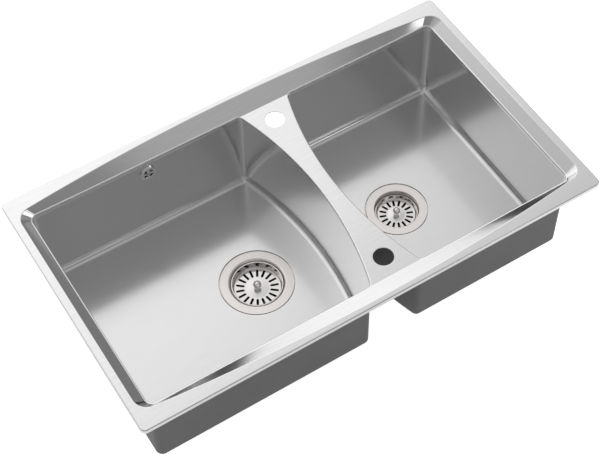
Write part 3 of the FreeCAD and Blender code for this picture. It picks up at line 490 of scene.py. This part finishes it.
def brushed_sheet(name, dark, light, smooth, rough, depth, haze=0.0, floor_share=1.0):
    """Brushed steel with tone and roughness along the brush lines, and roughness multiplied on a floor."""
    material, tree, shader, vector = start_material(name)
    shader.inputs["Metallic"].default_value = 1.0
    brush = use_group(tree, BRUSH_LINES, vector)
    tones(tree, brush["Broad"], dark, light, shader.inputs["Base Color"])
    height = add_node(tree, "ShaderNodeSeparateXYZ", links={"Vector": vector})
    share = add_node(tree, "ShaderNodeMapRange", {"interpolation_type": "SMOOTHSTEP"},
                     {"From Min": FLOOR_TOP, "From Max": FLOOR_TOP + FLOOR_BEND, "To Min": floor_share},
                     {"Value": height.outputs["Z"]})
    gloss = add_node(tree, "ShaderNodeMath", {"operation": "MULTIPLY"}, links={1: share.outputs["Result"]})
    spread(tree, brush["Fine"], smooth, rough, gloss.inputs[0])
    tree.links.new(gloss.outputs["Value"], shader.inputs["Roughness"])
    shader.inputs["Coat Weight"].default_value = haze
    shader.inputs["Coat Roughness"].default_value = HAZE_ROUGHNESS
    shader.inputs["Coat IOR"].default_value = HAZE_INDEX
    relief(tree, brush["Fine"], BRUSH_BUMP, depth, shader)
    return material


DECK_STEEL = brushed_sheet("deck_steel", dark=(0.73, 0.73, 0.732), light=(0.77, 0.77, 0.77),
                           smooth=0.115, rough=0.165, depth=0.0045 * MM)
BOWL_STEEL = brushed_sheet("bowl_steel", dark=(0.63, 0.63, 0.632), light=(0.71, 0.71, 0.71),
                           smooth=0.08, rough=0.13, depth=0.004 * MM, haze=1.0, floor_share=1.6)
EDGE_STEEL = brushed_sheet("mouth_edge_steel", dark=(0.76, 0.76, 0.76), light=(0.82, 0.82, 0.82),
                           smooth=0.2, rough=0.28, depth=0.006 * MM)
ROSETTE_STEEL = brushed_sheet("rosette_steel", dark=(0.80, 0.80, 0.80), light=(0.88, 0.88, 0.88),
                              smooth=0.09, rough=0.15, depth=0.03 * MM)
print("sheet finishes made")

# %% [markdown]
# Strainers and baskets are spun and polished, and bolts and clips are zinc plated. Rings and flat
# crystals tell the two apart. Deep in a well little light is left, so below its basket a strainer's
# colour is painted near black, as painted shade.

# %% Turned and plated steel
# Painted shade: a near-black colour laid on a strainer below its basket's foot, where the well is dark.
WELL_PAINTED_SHADE = (0.030, 0.029, 0.028, 1)
PAINTED_SHADE_FADE = 4.0 * MM
RING_SCALE = 1800.0
RING_BUMP = 0.1
RING_DEPTH = 0.03 * MM
PLATE_SMOOTH = 0.28
PLATE_ROUGH = 0.45
PLATE_BUMP = 0.08
PLATE_DEPTH = 0.1 * MM


def turned_steel(name, origin, dark, light, smooth, rough, painted_shade_below=None):
    """Spun or turned steel: rings round the piece's own axis, and painted shade below one level if given.
    """
    material, tree, shader, vector = start_material(name, origin)
    shader.inputs["Metallic"].default_value = 1.0
    rings = use_group(tree, LATHE_RINGS, vector, Scale=RING_SCALE)["Rings"]
    target = shader.inputs["Base Color"]
    # Painted shade: below the given level the colour fades to near black.
    if painted_shade_below is not None:
        height = add_node(tree, "ShaderNodeSeparateXYZ", links={"Vector": vector})
        unshaded = soft_step(tree, height.outputs["Z"], (painted_shade_below - PAINTED_SHADE_FADE, painted_shade_below))
        blend = add_node(tree, "ShaderNodeMix", {"data_type": "RGBA"}, {"A": WELL_PAINTED_SHADE}, {"Factor": unshaded})
        tree.links.new(blend.outputs["Result"], target)
        target = blend.inputs["B"]
    tones(tree, rings, dark, light, target)
    spread(tree, rings, smooth, rough, shader.inputs["Roughness"])
    relief(tree, rings, RING_BUMP, RING_DEPTH, shader)
    return material


def plated_steel(name, dark, light, cell_scale):
    """Zinc coat: flat crystals of slightly different tone and gloss."""
    material, tree, shader, vector = start_material(name)
    shader.inputs["Metallic"].default_value = 1.0
    cells = add_node(tree, "ShaderNodeTexVoronoi", values={"Scale": cell_scale}, links={"Vector": vector})
    grey = add_node(tree, "ShaderNodeSeparateColor", links={"Color": cells.outputs["Color"]})
    tones(tree, grey.outputs["Red"], dark, light, shader.inputs["Base Color"])
    spread(tree, grey.outputs["Green"], PLATE_SMOOTH, PLATE_ROUGH, shader.inputs["Roughness"])
    marks = use_group(tree, SOFT_MOTTLE, vector)
    relief(tree, marks["Speckle"], PLATE_BUMP, PLATE_DEPTH, shader)
    return material


FASTENER_STEEL = plated_steel("fastener_steel", dark=(0.55, 0.56, 0.58), light=(0.68, 0.69, 0.71),
                              cell_scale=900.0)
CLIP_STEEL = plated_steel("clip_steel", dark=(0.42, 0.43, 0.45), light=(0.62, 0.63, 0.65),
                          cell_scale=260.0)
print("plated finishes made")

# %% [markdown]
# Outside, the bowls are sprayed grey, which deadens noise and keeps dew off. The wastes are moulded in
# plastic and the seals in rubber, and the threaded insert of each waste is cast in brass. All of these
# have a cloudy tone and a speckled skin, so one short function makes them, called with their own tones.

# %% Sprayed, moulded and cast finishes
SKIN_DEPTH = 0.2 * MM
BRASS_DEPTH = 0.1 * MM


def mottled(name, dark, light, smooth, rough, bump, depth=SKIN_DEPTH, metal=0.0):
    """Cloudy tone, with a fine speckle in gloss and relief."""
    material, tree, shader, vector = start_material(name)
    shader.inputs["Metallic"].default_value = metal
    marks = use_group(tree, SOFT_MOTTLE, vector)
    tones(tree, marks["Cloud"], dark, light, shader.inputs["Base Color"])
    spread(tree, marks["Speckle"], smooth, rough, shader.inputs["Roughness"])
    relief(tree, marks["Speckle"], bump, depth, shader)
    return material


BOWL_COAT = mottled("bowl_coat", dark=(0.118, 0.119, 0.118), light=(0.134, 0.135, 0.134),
                    smooth=0.5, rough=0.68, bump=0.25)
WASTE_PLASTIC = mottled("waste_plastic", dark=(0.030, 0.031, 0.033), light=(0.042, 0.043, 0.045),
                        smooth=0.32, rough=0.46, bump=0.15)
SEAL_RUBBER = mottled("seal_rubber", dark=(0.022, 0.022, 0.023), light=(0.034, 0.034, 0.035),
                      smooth=0.55, rough=0.75, bump=0.25)
STOPPER_RUBBER = mottled("stopper_rubber", dark=(0.020, 0.020, 0.020), light=(0.030, 0.030, 0.030),
                         smooth=0.45, rough=0.62, bump=0.2)
PAD_RUBBER = mottled("pad_rubber", dark=(0.045, 0.044, 0.043), light=(0.070, 0.069, 0.067),
                     smooth=0.7, rough=0.9, bump=0.6)
INSERT_BRASS = mottled("insert_brass", dark=(0.62, 0.42, 0.16), light=(0.74, 0.53, 0.24),
                       smooth=0.25, rough=0.4, bump=0.1, depth=BRASS_DEPTH, metal=1.0)
print("mottled finishes made")

# %% [markdown]
# The paper glows a little, so that it comes out white as a lit sheet does, and it glows less in what
# the steel mirrors, where the sink's own shadow would fall.

# %% The floor's paper
PAPER_DARK = (0.86, 0.86, 0.86)
PAPER_LIGHT = (0.89, 0.89, 0.89)
PAPER_ROUGHNESS = 0.9
PAPER_BUMP = 0.05
PAPER_GLOW = 0.85
PAPER_MIRRORED = 0.46


def white_paper(name):
    """Lit white studio paper with a faint tooth: bright to the camera, dimmer in what the steel mirrors."""
    material, tree, shader, vector = start_material(name)
    marks = use_group(tree, SOFT_MOTTLE, vector)
    tones(tree, marks["Cloud"], PAPER_DARK, PAPER_LIGHT, shader.inputs["Base Color"])
    shader.inputs["Roughness"].default_value = PAPER_ROUGHNESS
    shader.inputs["Emission Color"].default_value = (1, 1, 1, 1)
    path = add_node(tree, "ShaderNodeLightPath")
    glow = add_node(tree, "ShaderNodeMapRange", values={"To Min": PAPER_MIRRORED, "To Max": PAPER_GLOW},
                    links={"Value": path.outputs["Is Camera Ray"]})
    tree.links.new(glow.outputs["Result"], shader.inputs["Emission Strength"])
    relief(tree, marks["Speckle"], PAPER_BUMP, SKIN_DEPTH, shader)
    return material


floor.data.materials.append(white_paper("studio_paper"))
print("paper laid")

# %% [markdown]
# ## Surfaces on grids
# A sheet-metal shape is a grid: one parameter runs round an outline, the other across the profile.
# The helpers below take such grids as arrays of points, number their four-sided faces all at once
# and put them into one mesh.

# %% Grid helpers
WELD_DISTANCE = 0.02 * MM
SHARP_ANGLE = np.radians(40.0)
FLAT_FACE_WEIGHT = 100


def grid_faces(rows, columns, ring, first):
    """Corner numbers of the quads between neighbouring rows; a ring joins the last column to the first."""
    steps = columns if ring else columns - 1
    row, column = np.meshgrid(np.arange(rows - 1), np.arange(steps), indexing="ij")
    after = (column + 1) % columns
    corners = [row * columns + column, row * columns + after, (row + 1) * columns + after,
               (row + 1) * columns + column]
    return first + np.stack(corners, axis=-1).reshape(-1, 4)


def weld(mesh):
    """Join the points that neighbouring grids share, and drop faces that have shrunk to nothing."""
    work = bmesh.new()
    work.from_mesh(mesh)
    bmesh.ops.remove_doubles(work, verts=work.verts, dist=WELD_DISTANCE)
    work.to_mesh(mesh)
    work.free()


def grid_piece(name, grids, materials):
    """One object from several (points, ring, flip, material number) grids, with smooth faces."""
    points, faces, finish = [], [], []
    count = 0
    for surface, ring, flip, number in grids:
        quads = grid_faces(surface.shape[0], surface.shape[1], ring, count)
        faces.append(quads[:, ::-1] if flip else quads)
        finish.append(np.full(len(quads), number))
        points.append(surface.reshape(-1, 3))
        count += surface.shape[0] * surface.shape[1]
    mesh = bpy.data.meshes.new(name)
    mesh.from_pydata(np.concatenate(points).tolist(), [], np.concatenate(faces).tolist())
    mesh.polygons.foreach_set("material_index", np.concatenate(finish).astype(np.int32))
    weld(mesh)
    mesh.shade_smooth()
    for material in materials:
        mesh.materials.append(material)
    piece = bpy.data.objects.new(name, mesh)
    bpy.context.scene.collection.objects.link(piece)
    return piece


def flat_faces_first(piece):
    """Keep flat sheet flat in the shading: normals weighted by face area, hard edges kept hard."""
    piece.data.set_sharp_from_angle(angle=SHARP_ANGLE)
    weighted = piece.modifiers.new("flat_faces_first", "WEIGHTED_NORMAL")
    weighted.keep_sharp = True
    weighted.weight = FLAT_FACE_WEIGHT


def lift(outline, level):
    """Outline points (n, 2) at one level, or at one level each, as (n, 3)."""
    return np.column_stack([outline, np.broadcast_to(level, len(outline))])


print("grid tools ready")

# %% [markdown]
# ## Outline of a bowl
# Seen from above a bowl is a rectangle with one bowed side, where the bridge between the bowls is
# narrowest in the middle. Distances are counted from the bridge's middle, so one formula serves both
# bowls: a line or an arc for every side, with the outward direction kept beside every point.

# %% Bowl outline
CORNER_STEPS = 16
CUSP_STEPS = 6
END_STEPS = 14
ARC_STEPS = 40
SIDE_STEPS = {LARGE: 40, SMALL: 30}
MOUTH_REACH = BRIDGE_CORNER + MOUTH_LAND
CUSP_ANGLE = np.arccos(BRIDGE_CORNER / MOUTH_REACH)
CUSP_TURNS = np.linspace(0, CUSP_ANGLE, CUSP_STEPS, endpoint=False)


def arc(centre, radius, angle):
    """Points and outward directions on an arc, one for each angle in radians."""
    outward = np.column_stack([np.cos(angle), np.sin(angle)])
    return np.array(centre) + radius * outward, outward


def line(start, end, outward, steps):
    """Points on a line with one outward direction; the last point is left off."""
    share = np.linspace(0, 1, steps, endpoint=False)[:, None]
    points = np.array(start) + share * (np.array(end) - np.array(start))
    return points, np.broadcast_to(np.array(outward, float), points.shape)


def bridge_arc():
    """Centre distance and half angle of the bowed side, and the corner's centre distance."""
    centre = BRIDGE_HALF_WAIST + BRIDGE_EDGE_RADIUS
    reach = BRIDGE_EDGE_RADIUS - BRIDGE_CORNER
    corner_y = RECESS_SIDE - BRIDGE_CORNER
    half_angle = np.arcsin(corner_y / reach)
    return centre, half_angle, centre - np.sqrt(reach ** 2 - corner_y ** 2)


def corner_turns():
    """Angles round a bridge corner, from the long side to the bowed side; the last is left off."""
    half_angle = bridge_arc()[1]
    rest = np.linspace(CUSP_ANGLE, np.pi / 2 - half_angle, CORNER_STEPS, endpoint=False)
    return np.concatenate([CUSP_TURNS, rest])


def bow_angles():
    """Angles along the bowed side, from the front corner to the back corner; the last is left off."""
    half_angle = bridge_arc()[1]
    return np.linspace(-half_angle, half_angle, ARC_STEPS, endpoint=False)


def bowl_outline(side):
    """Closed outline of a bowl and its outward directions, (n, 2) each, clockwise from the back."""
    end = RECESS_END - side * BRIDGE_CENTRE
    centre, half_angle, corner = bridge_arc()
    corner_y = RECESS_SIDE - BRIDGE_CORNER
    far_y = RECESS_SIDE - BOWL_CORNER
    far = end - BOWL_CORNER
    quarter = np.pi / 2
    turns = np.append(corner_turns(), quarter - half_angle)
    bowl_turns = np.linspace(0, quarter, CORNER_STEPS, endpoint=False)
    runs = [line((corner, RECESS_SIDE), (far, RECESS_SIDE), (0, 1), SIDE_STEPS[side]),
            arc((far, far_y), BOWL_CORNER, quarter - bowl_turns),
            line((end, far_y), (end, -far_y), (1, 0), END_STEPS),
            arc((far, -far_y), BOWL_CORNER, -bowl_turns),
            line((far, -RECESS_SIDE), (corner, -RECESS_SIDE), (0, -1), SIDE_STEPS[side]),
            arc((corner, -corner_y), BRIDGE_CORNER, -quarter - turns[:-1]),
            arc((centre, 0), BRIDGE_EDGE_RADIUS, np.pi - bow_angles()),
            arc((corner, corner_y), BRIDGE_CORNER, quarter + turns[:0:-1])]
    points = np.concatenate([run[0] for run in runs])
    outward = np.concatenate([run[1] for run in runs])
    mirror = np.array([side, 1.0])
    return points * mirror + np.array([BRIDGE_CENTRE, 0]), outward * mirror


OUTLINES = {side: bowl_outline(side) for side in (LARGE, SMALL)}
print("outline points:", {side: len(pair[0]) for side, pair in OUTLINES.items()})

# %% [markdown]
# ## The bowls
# A bowl is folded and welded from one sheet: straight walls, a bend at the floor, and a round seat
# pressed for the strainer. The grid follows the outline round, and its rows go down the wall, round
# the bend, across the floor to the seat's circle, down into the seat, and back up the outside.

# %% Bowl surface
BEND_STEPS = 8
SEAT_STEPS = 5
FLOOR_SHARES = (0.01, 0.08, 0.3, 0.6, 0.9, 0.98)
SEAT_DEPTH = 3.0 * MM
SEAT_ROUNDING = 0.8 * MM
SEAT_GAP = 1.0 * MM
HOLE_CLEARANCE = 1.8 * MM
BASKET_CLEARANCE = 0.8 * MM
STRAINER_SHEET = 1.2 * MM
STEEL_SIDE = 0
COAT_SIDE = 1


def seat_sizes(name):
    """Centre, flange radius and hole radius of a waste, read from its strainer body and basket."""
    low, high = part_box(name + "_strainer_body")
    basket_low, basket_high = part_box(name + "_basket")
    well = (basket_high.x - basket_low.x) / 2 + BASKET_CLEARANCE
    centre = np.array([(low.x + high.x) / 2, (low.y + high.y) / 2])
    return centre, (high.x - low.x) / 2, well + STRAINER_SHEET + HOLE_CLEARANCE


def bowl_rows(side, name, grow):
    """Rows of one face of the bowl's sheet; grow moves it out through the sheet's thickness."""
    outline, outward = OUTLINES[side]
    centre, flange, hole = seat_sizes(name)
    level = FLOOR_TOP - grow
    bend = FLOOR_BEND + grow
    rows = [lift(outline + grow * outward, COLLAR_BOTTOM)]
    for turn in np.linspace(0, np.pi / 2, BEND_STEPS):
        inset = grow - bend * (1 - np.cos(turn))
        rows.append(lift(outline + inset * outward, level + bend * (1 - np.sin(turn))))
    edge = outline - FLOOR_BEND * outward
    ray = edge - centre
    ray = ray / np.linalg.norm(ray, axis=1)[:, None]
    seat = flange + SEAT_GAP + grow
    shoulder = centre + (seat + SEAT_ROUNDING) * ray
    rows += [lift(edge + share * (shoulder - edge), level) for share in FLOOR_SHARES]
    for turn in np.linspace(0, np.pi / 2, SEAT_STEPS):
        reach = seat + SEAT_ROUNDING * (1 - np.sin(turn))
        rows.append(lift(centre + reach * ray, level - SEAT_ROUNDING * (1 - np.cos(turn))))
    rows += [lift(centre + reach * ray, level - SEAT_DEPTH) for reach in (seat, hole)]
    return np.stack(rows)


def bowl_piece(side, name):
    """Closed sheet: the inside rows, then the outside rows back up to the top edge."""
    inside = bowl_rows(side, name, 0.0)
    outside = bowl_rows(side, name, SHEET)[::-1]
    edge = np.stack([inside[-1], outside[0]])
    top = np.stack([outside[-1], inside[0]])
    flip = side == SMALL
    grids = [(inside, True, flip, STEEL_SIDE)]
    grids += [(part, True, flip, COAT_SIDE) for part in (edge, outside, top)]
    piece = grid_piece(name + "_bowl_sheet", grids, [BOWL_STEEL, BOWL_COAT])
    flat_faces_first(piece)
    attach(piece, "sink")
    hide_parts(name + "_bowl")
    return piece


bowls = [bowl_piece(LARGE, "large"), bowl_piece(SMALL, "small")]
print("bowls:", [len(piece.data.polygons) for piece in bowls], "faces")

# %% [markdown]
# ## The deck
# The deck is one pressing: a lip that stands on the worktop, a level flange, a sloping band that
# widens along the long sides, the bridge with its two tap holes, and a short collar into each bowl.
# Three kinds of grid make it: a ring for lip, flange and band, flat patches for the bridge, and a
# mouth round each bowl. They meet on shared curves.

# %% Deck outlines
BRIDGE_STEPS = 8
BOW_RADIUS = (FLANGE_END ** 2 + FLANGE_BOW ** 2) / (2 * FLANGE_BOW)


def long_side_stations():
    """Places along a long side: those of both bowls' outlines, and a few along the bridge."""
    corner = bridge_arc()[2]
    left, right = BRIDGE_CENTRE - corner, BRIDGE_CENTRE + corner
    cusp = np.append(MOUTH_REACH * np.sin(CUSP_TURNS), MOUTH_REACH * np.sin(CUSP_ANGLE))
    far = RECESS_END - BOWL_CORNER
    large = np.linspace(-far, left, SIDE_STEPS[LARGE] + 1)
    small = np.linspace(right, far, SIDE_STEPS[SMALL] + 1)
    bridge = np.linspace(left + cusp[-1], right - cusp[-1], BRIDGE_STEPS + 1)
    return np.concatenate([large[:-1], left + cusp[:-1], bridge, (right - cusp[:-1])[::-1], small[1:]])


STATIONS = long_side_stations()


def ring_of(back_side, back_corner, end_half):
    """Closed ring from the back side and one corner: mirrored to the front and to both ends."""
    to_front = np.array([1, -1])
    to_left = np.array([-1, 1])
    back = np.column_stack(back_side)
    corner = back_corner[1:-1]
    up = np.linspace(-1, 1, END_STEPS + 1)[:, None]
    right = np.column_stack([np.full(END_STEPS + 1, end_half[0]), end_half[1] * up])
    return np.concatenate([back * to_front, (corner * to_front)[::-1], right, corner, back[::-1],
                           (corner * to_left)[::-1], right[::-1] * to_left, -corner])


def corner_points(centre, radius, end_angle):
    """Back right corner from the end side up to the long side."""
    angle = np.linspace(0, end_angle, CORNER_STEPS + 1)
    return np.array(centre) + radius * np.column_stack([np.cos(angle), np.sin(angle)])


def rim_ring(inset):
    """Outer outline of the rim, moved in by an inset."""
    length = RIM_HALF_LENGTH - RIM_CORNER
    width = RIM_HALF_WIDTH - RIM_CORNER
    side = (STATIONS * length / STATIONS[-1], np.full(len(STATIONS), RIM_HALF_WIDTH - inset))
    corner = corner_points((length, width), RIM_CORNER - inset, np.pi / 2)
    return ring_of(side, corner, (RIM_HALF_LENGTH - inset, width))


def bow(x):
    """Distance of the flange's inner edge from the long axis: an arc that is widest in the middle."""
    return FLANGE_MIDDLE - BOW_RADIUS + np.sqrt(BOW_RADIUS ** 2 - x ** 2)


def flange_ring():
    """Inner edge of the level flange: bowed long sides, straight ends and large corners."""
    x = FLANGE_END - FLANGE_CORNER
    centre_y = FLANGE_MIDDLE - BOW_RADIUS + np.sqrt((BOW_RADIUS - FLANGE_CORNER) ** 2 - x ** 2)
    lean = np.arccos(x / (BOW_RADIUS - FLANGE_CORNER))
    tangent = x + FLANGE_CORNER * np.cos(lean)
    stations = STATIONS * tangent / STATIONS[-1]
    corner = corner_points((x, centre_y), FLANGE_CORNER, lean)
    return ring_of((stations, bow(stations)), corner, (FLANGE_END, centre_y))


def recess_ring():
    """Foot of the band: the outer edge of each mouth's land, and a straight line along the bridge."""
    past_corner = bridge_arc()[2] - np.abs(STATIONS - BRIDGE_CENTRE)
    run_in = np.clip(past_corner, 0, MOUTH_REACH * np.sin(CUSP_ANGLE))
    raised = np.sqrt(MOUTH_REACH ** 2 - run_in ** 2) - BRIDGE_CORNER
    length = RECESS_END - BOWL_CORNER
    width = RECESS_SIDE - BOWL_CORNER
    corner = corner_points((length, width), BOWL_CORNER + MOUTH_LAND, np.pi / 2)
    return ring_of((STATIONS, RECESS_SIDE + raised), corner, (RECESS_END + MOUTH_LAND, width))


print("ring points:", len(rim_ring(0)), len(flange_ring()), len(recess_ring()))

# %% [markdown]
# The lip, the flange and the band are one grid that runs round the sink. Its rows lie between an
# outer and an inner outline, and one formula gives the band's height: a straight slope along each
# side, and at each corner a piece of a cone. Steel shows every flat spot, so the height is worked out
# for all points at once and nothing is pulled by hand.

# %% Deck ring and band height
LIP_STEPS = 7
FLANGE_BEND_STEPS = 7
BAND_SHARES = np.array([0.5, 0.97, 1.0])


def band_height(points):
    """Level of the band: the recess's, plus the distance outside its outline times the slope there."""
    x, y = np.abs(points[:, 0]), np.abs(points[:, 1])
    rise = RIM_TOP - RECESS_TOP
    side_slope = rise / (bow(x) - RECESS_SIDE)
    end_slope = rise / (FLANGE_END - RECESS_END)
    along = np.maximum(x - RECESS_END + BOWL_CORNER, 0)
    across = np.maximum(y - RECESS_SIDE + BOWL_CORNER, 0)
    turn = np.arctan2(along, across)
    slope = side_slope + (end_slope - side_slope) * np.sin(turn) ** 2
    return RECESS_TOP + slope * np.maximum(np.hypot(along, across) - BOWL_CORNER, 0)


def curve_rows(first, middle, last, steps):
    """Rows of a quadratic curve: leaves first towards middle and arrives at last from middle."""
    share = np.linspace(0, 1, steps)[:, None, None]
    return (1 - share) ** 2 * first + 2 * share * (1 - share) * middle + share ** 2 * last


def deck_ring():
    """Rows from the lip's foot, over the rounded edge, across the flange and down the band."""
    rows = [lift(rim_ring(0), 0.0)]
    for turn in np.linspace(0, np.pi / 2, LIP_STEPS):
        outline = rim_ring(RIM_EDGE * (1 - np.cos(turn)))
        rows.append(lift(outline, RIM_TOP - RIM_EDGE * (1 - np.sin(turn))))
    edge = lift(flange_ring(), RIM_TOP)
    outer = rows[-1]
    foot = recess_ring()
    foot = lift(foot, band_height(foot))
    step_out = FLANGE_BEND / np.linalg.norm(outer - edge, axis=1)[:, None]
    step_in = FLANGE_BEND / np.linalg.norm(foot - edge, axis=1)[:, None]
    first = edge + step_out * (outer - edge)
    last = edge + step_in * (foot - edge)
    bend = curve_rows(first, edge, last, FLANGE_BEND_STEPS)
    band = last + BAND_SHARES[:, None, None] * (foot - last)
    return np.concatenate([np.stack(rows), bend, band])


ring_surface = deck_ring()
print("deck ring:", ring_surface.shape)

# %% [markdown]
# The bridge lies level between the bowls, with a hole at each end for a tap. A mouth is a level land,
# a rounded edge and a short collar that the bowl is welded to. The rounded edge is one curve that is
# swept round the bowl's outline, because a bevel would not follow the bowed side as evenly.

# %% Bridge and mouths
PATCH_HALF = 26.0 * MM
PATCH_SHARES = (0, 0.3, 0.7, 1.0)
HOLE_EDGE = 0.6 * MM
HOLE_STEPS = 4
MOUTH_STEPS = 5
DECK_FACE = 0
EDGE_FACE = 1


def bridge_stations():
    """Half width of the bridge's flat top and the place across it, at the mouths' own points."""
    centre, half_angle, corner = bridge_arc()
    turns = np.append(corner_turns(), np.pi / 2 - half_angle)[CUSP_STEPS:]
    bow_angle = bow_angles()[1:]
    reach = BRIDGE_EDGE_RADIUS + MOUTH_LAND
    corner_half = corner - MOUTH_REACH * np.sin(turns)
    corner_y = RECESS_SIDE - BRIDGE_CORNER + MOUTH_REACH * np.cos(turns)
    half = np.concatenate([corner_half, centre - reach * np.cos(bow_angle), corner_half[::-1]])
    return half, np.concatenate([-corner_y, reach * np.sin(bow_angle), corner_y[::-1]])


def bridge_patch(first, last):
    """Flat patch between two stations of the bridge, straight across at every station."""
    half, y = (values[first:last + 1, None] for values in bridge_stations())
    x = BRIDGE_CENTRE + half * np.linspace(-1, 1, BRIDGE_STEPS + 1)[None, :]
    return np.stack([x, np.broadcast_to(y, x.shape), np.full(x.shape, RECESS_TOP)], axis=-1)


def tap_patch(first, last, centre_y):
    """Flat patch with a round hole: rays from its outer edge to the hole, then down the hole's edge."""
    square = bridge_patch(first, last)[..., :2]
    edge = np.concatenate([square[0, :-1], square[:-1, -1], square[-1, :0:-1], square[:0:-1, 0]])
    centre = np.array([BRIDGE_CENTRE, centre_y])
    ray = (edge - centre) / np.linalg.norm(edge - centre, axis=1)[:, None]
    hole = centre + (TAP_HOLE_RADIUS + HOLE_EDGE) * ray
    rows = [lift(edge + share * (hole - edge), RECESS_TOP) for share in PATCH_SHARES]
    for turn in np.linspace(0, np.pi / 2, HOLE_STEPS)[1:]:
        reach = TAP_HOLE_RADIUS + HOLE_EDGE * (1 - np.sin(turn))
        rows.append(lift(centre + reach * ray, RECESS_TOP - HOLE_EDGE * (1 - np.cos(turn))))
    return np.stack(rows)


def mouth(side):
    """Level land ground round a bowl after welding, its rounded edge, and the collar below it."""
    outline, outward = OUTLINES[side]
    top = outline + MOUTH_LAND * outward
    level = band_height(top)
    land = [lift(outline + reach * outward, level) for reach in (MOUTH_LAND, MOUTH_LAND - LAND_BEND)]
    first = lift(outline + MOUTH_EDGE * outward, level)
    last = lift(outline, level - MOUTH_EDGE)
    edge = curve_rows(first, lift(outline, level), last, MOUTH_STEPS)
    collar = lift(outline, COLLAR_BOTTOM)
    return np.concatenate([np.stack(land), edge]), np.stack([last, collar])


def deck_piece():
    """All grids of the pressing, given the sheet's thickness below."""
    y = bridge_stations()[1]
    places = [hole + reach for hole in (-TAP_HOLE_Y, TAP_HOLE_Y) for reach in (-PATCH_HALF, PATCH_HALF)]
    marks = [int(np.argmin(np.abs(y - place))) for place in places]
    grids = [(ring_surface, True, False, DECK_FACE),
             (bridge_patch(0, marks[0]), False, False, DECK_FACE),
             (tap_patch(marks[0], marks[1], -TAP_HOLE_Y), True, False, DECK_FACE),
             (bridge_patch(marks[1], marks[2]), False, False, DECK_FACE),
             (tap_patch(marks[2], marks[3], TAP_HOLE_Y), True, False, DECK_FACE),
             (bridge_patch(marks[3], len(y) - 1), False, False, DECK_FACE)]
    for side in (LARGE, SMALL):
        edge, collar = mouth(side)
        grids += [(edge, True, side == SMALL, EDGE_FACE), (collar, True, side == SMALL, DECK_FACE)]
    piece = grid_piece("deck_sheet", grids, [DECK_STEEL, EDGE_STEEL])
    wall = piece.modifiers.new("sheet_thickness", "SOLIDIFY")
    wall.thickness = SHEET
    wall.offset = -1.0
    flat_faces_first(piece)
    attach(piece, "sink")
    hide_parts("top_deck")
    return piece


deck = deck_piece()
print("deck:", len(deck.data.polygons), "faces")

# %% [markdown]
# ## The wastes and the small pieces
# The strainers, knobs, seals and clips keep their solids. Each waste gets its own turned finishes,
# because their rings have to be centred on its own axis.

# %% Finishes of the wastes
# Each row: node, steel, dark tone, light tone, least and most roughness.
TURNED = [("strainer_body", "strainer_steel", (0.80, 0.76, 0.74), (0.86, 0.82, 0.80), 0.26, 0.36),
          ("basket", "basket_steel", (0.68, 0.66, 0.65), (0.80, 0.78, 0.77), 0.13, 0.2),
          # Partly painted light: the knob is polished steel, with its tone raised towards white to stand
          # for the bright light the ball mirrors.
          ("basket_knob", "knob_steel", (0.93, 0.93, 0.92), (0.98, 0.98, 0.97), 0.17, 0.25),
          # Painted shade: the stem is the same turned steel, darkened to stand for the shadow under the
          # knob.
          ("basket_stem", "stem_painted_shade_steel", (0.40, 0.39, 0.38), (0.52, 0.51, 0.50), 0.22, 0.32)]
WASTE_FINISHES = {"centre_screw": FASTENER_STEEL, "insert": INSERT_BRASS, "waste_body": WASTE_PLASTIC,
                  "flange_seal": SEAL_RUBBER, "under_seal": SEAL_RUBBER, "stopper": STOPPER_RUBBER,
                  "sound_pad": PAD_RUBBER}


def dress(node, material):
    """Give a CAD node one material."""
    slots = nodes[node].data.materials
    slots.clear()
    slots.append(material)


def waste_axis(name):
    """Middle of a strainer body's top."""
    low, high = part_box(name + "_strainer_body")
    return ((low.x + high.x) / 2, (low.y + high.y) / 2, high.z)


def dress_waste(name):
    """Finishes for all pieces of one waste; only its strainer gets painted shade, below the basket's foot.
    """
    axis = waste_axis(name)
    basket_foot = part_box(name + "_basket")[0].z - axis[2]
    for node, steel, dark, light, smooth, rough in TURNED:
        painted_shade_below = basket_foot if node == "strainer_body" else None
        material = turned_steel(name + "_" + steel, axis, dark, light, smooth, rough, painted_shade_below)
        dress(name + "_" + node, material)
    for node, material in WASTE_FINISHES.items():
        dress(name + "_" + node, material)


dress_waste("large")
dress_waste("small")
print("pieces of each waste dressed:", len(TURNED) + len(WASTE_FINISHES))

# %% [markdown]
# The overflow, the seal under the rim and the clips use finishes from above.

# %% Finishes of the overflow, the seal and the clips
OTHER_FINISHES = {"overflow_rosette": ROSETTE_STEEL, "overflow_screw": FASTENER_STEEL,
                  "overflow_seal": SEAL_RUBBER, "overflow_elbow": WASTE_PLASTIC, "rim_seal": SEAL_RUBBER,
                  "clip_brackets": CLIP_STEEL, "clip_bolts": FASTENER_STEEL, "clip_nuts": FASTENER_STEEL}
clip_arms = [node for node in nodes if node.startswith("clip_arm_")]
for node, material in OTHER_FINISHES.items():
    dress(node, material)
for node in clip_arms:
    dress(node, CLIP_STEEL)
print("other pieces dressed:", len(OTHER_FINISHES) + len(clip_arms))

# %% [markdown]

# %% Finish
print("scene finished")
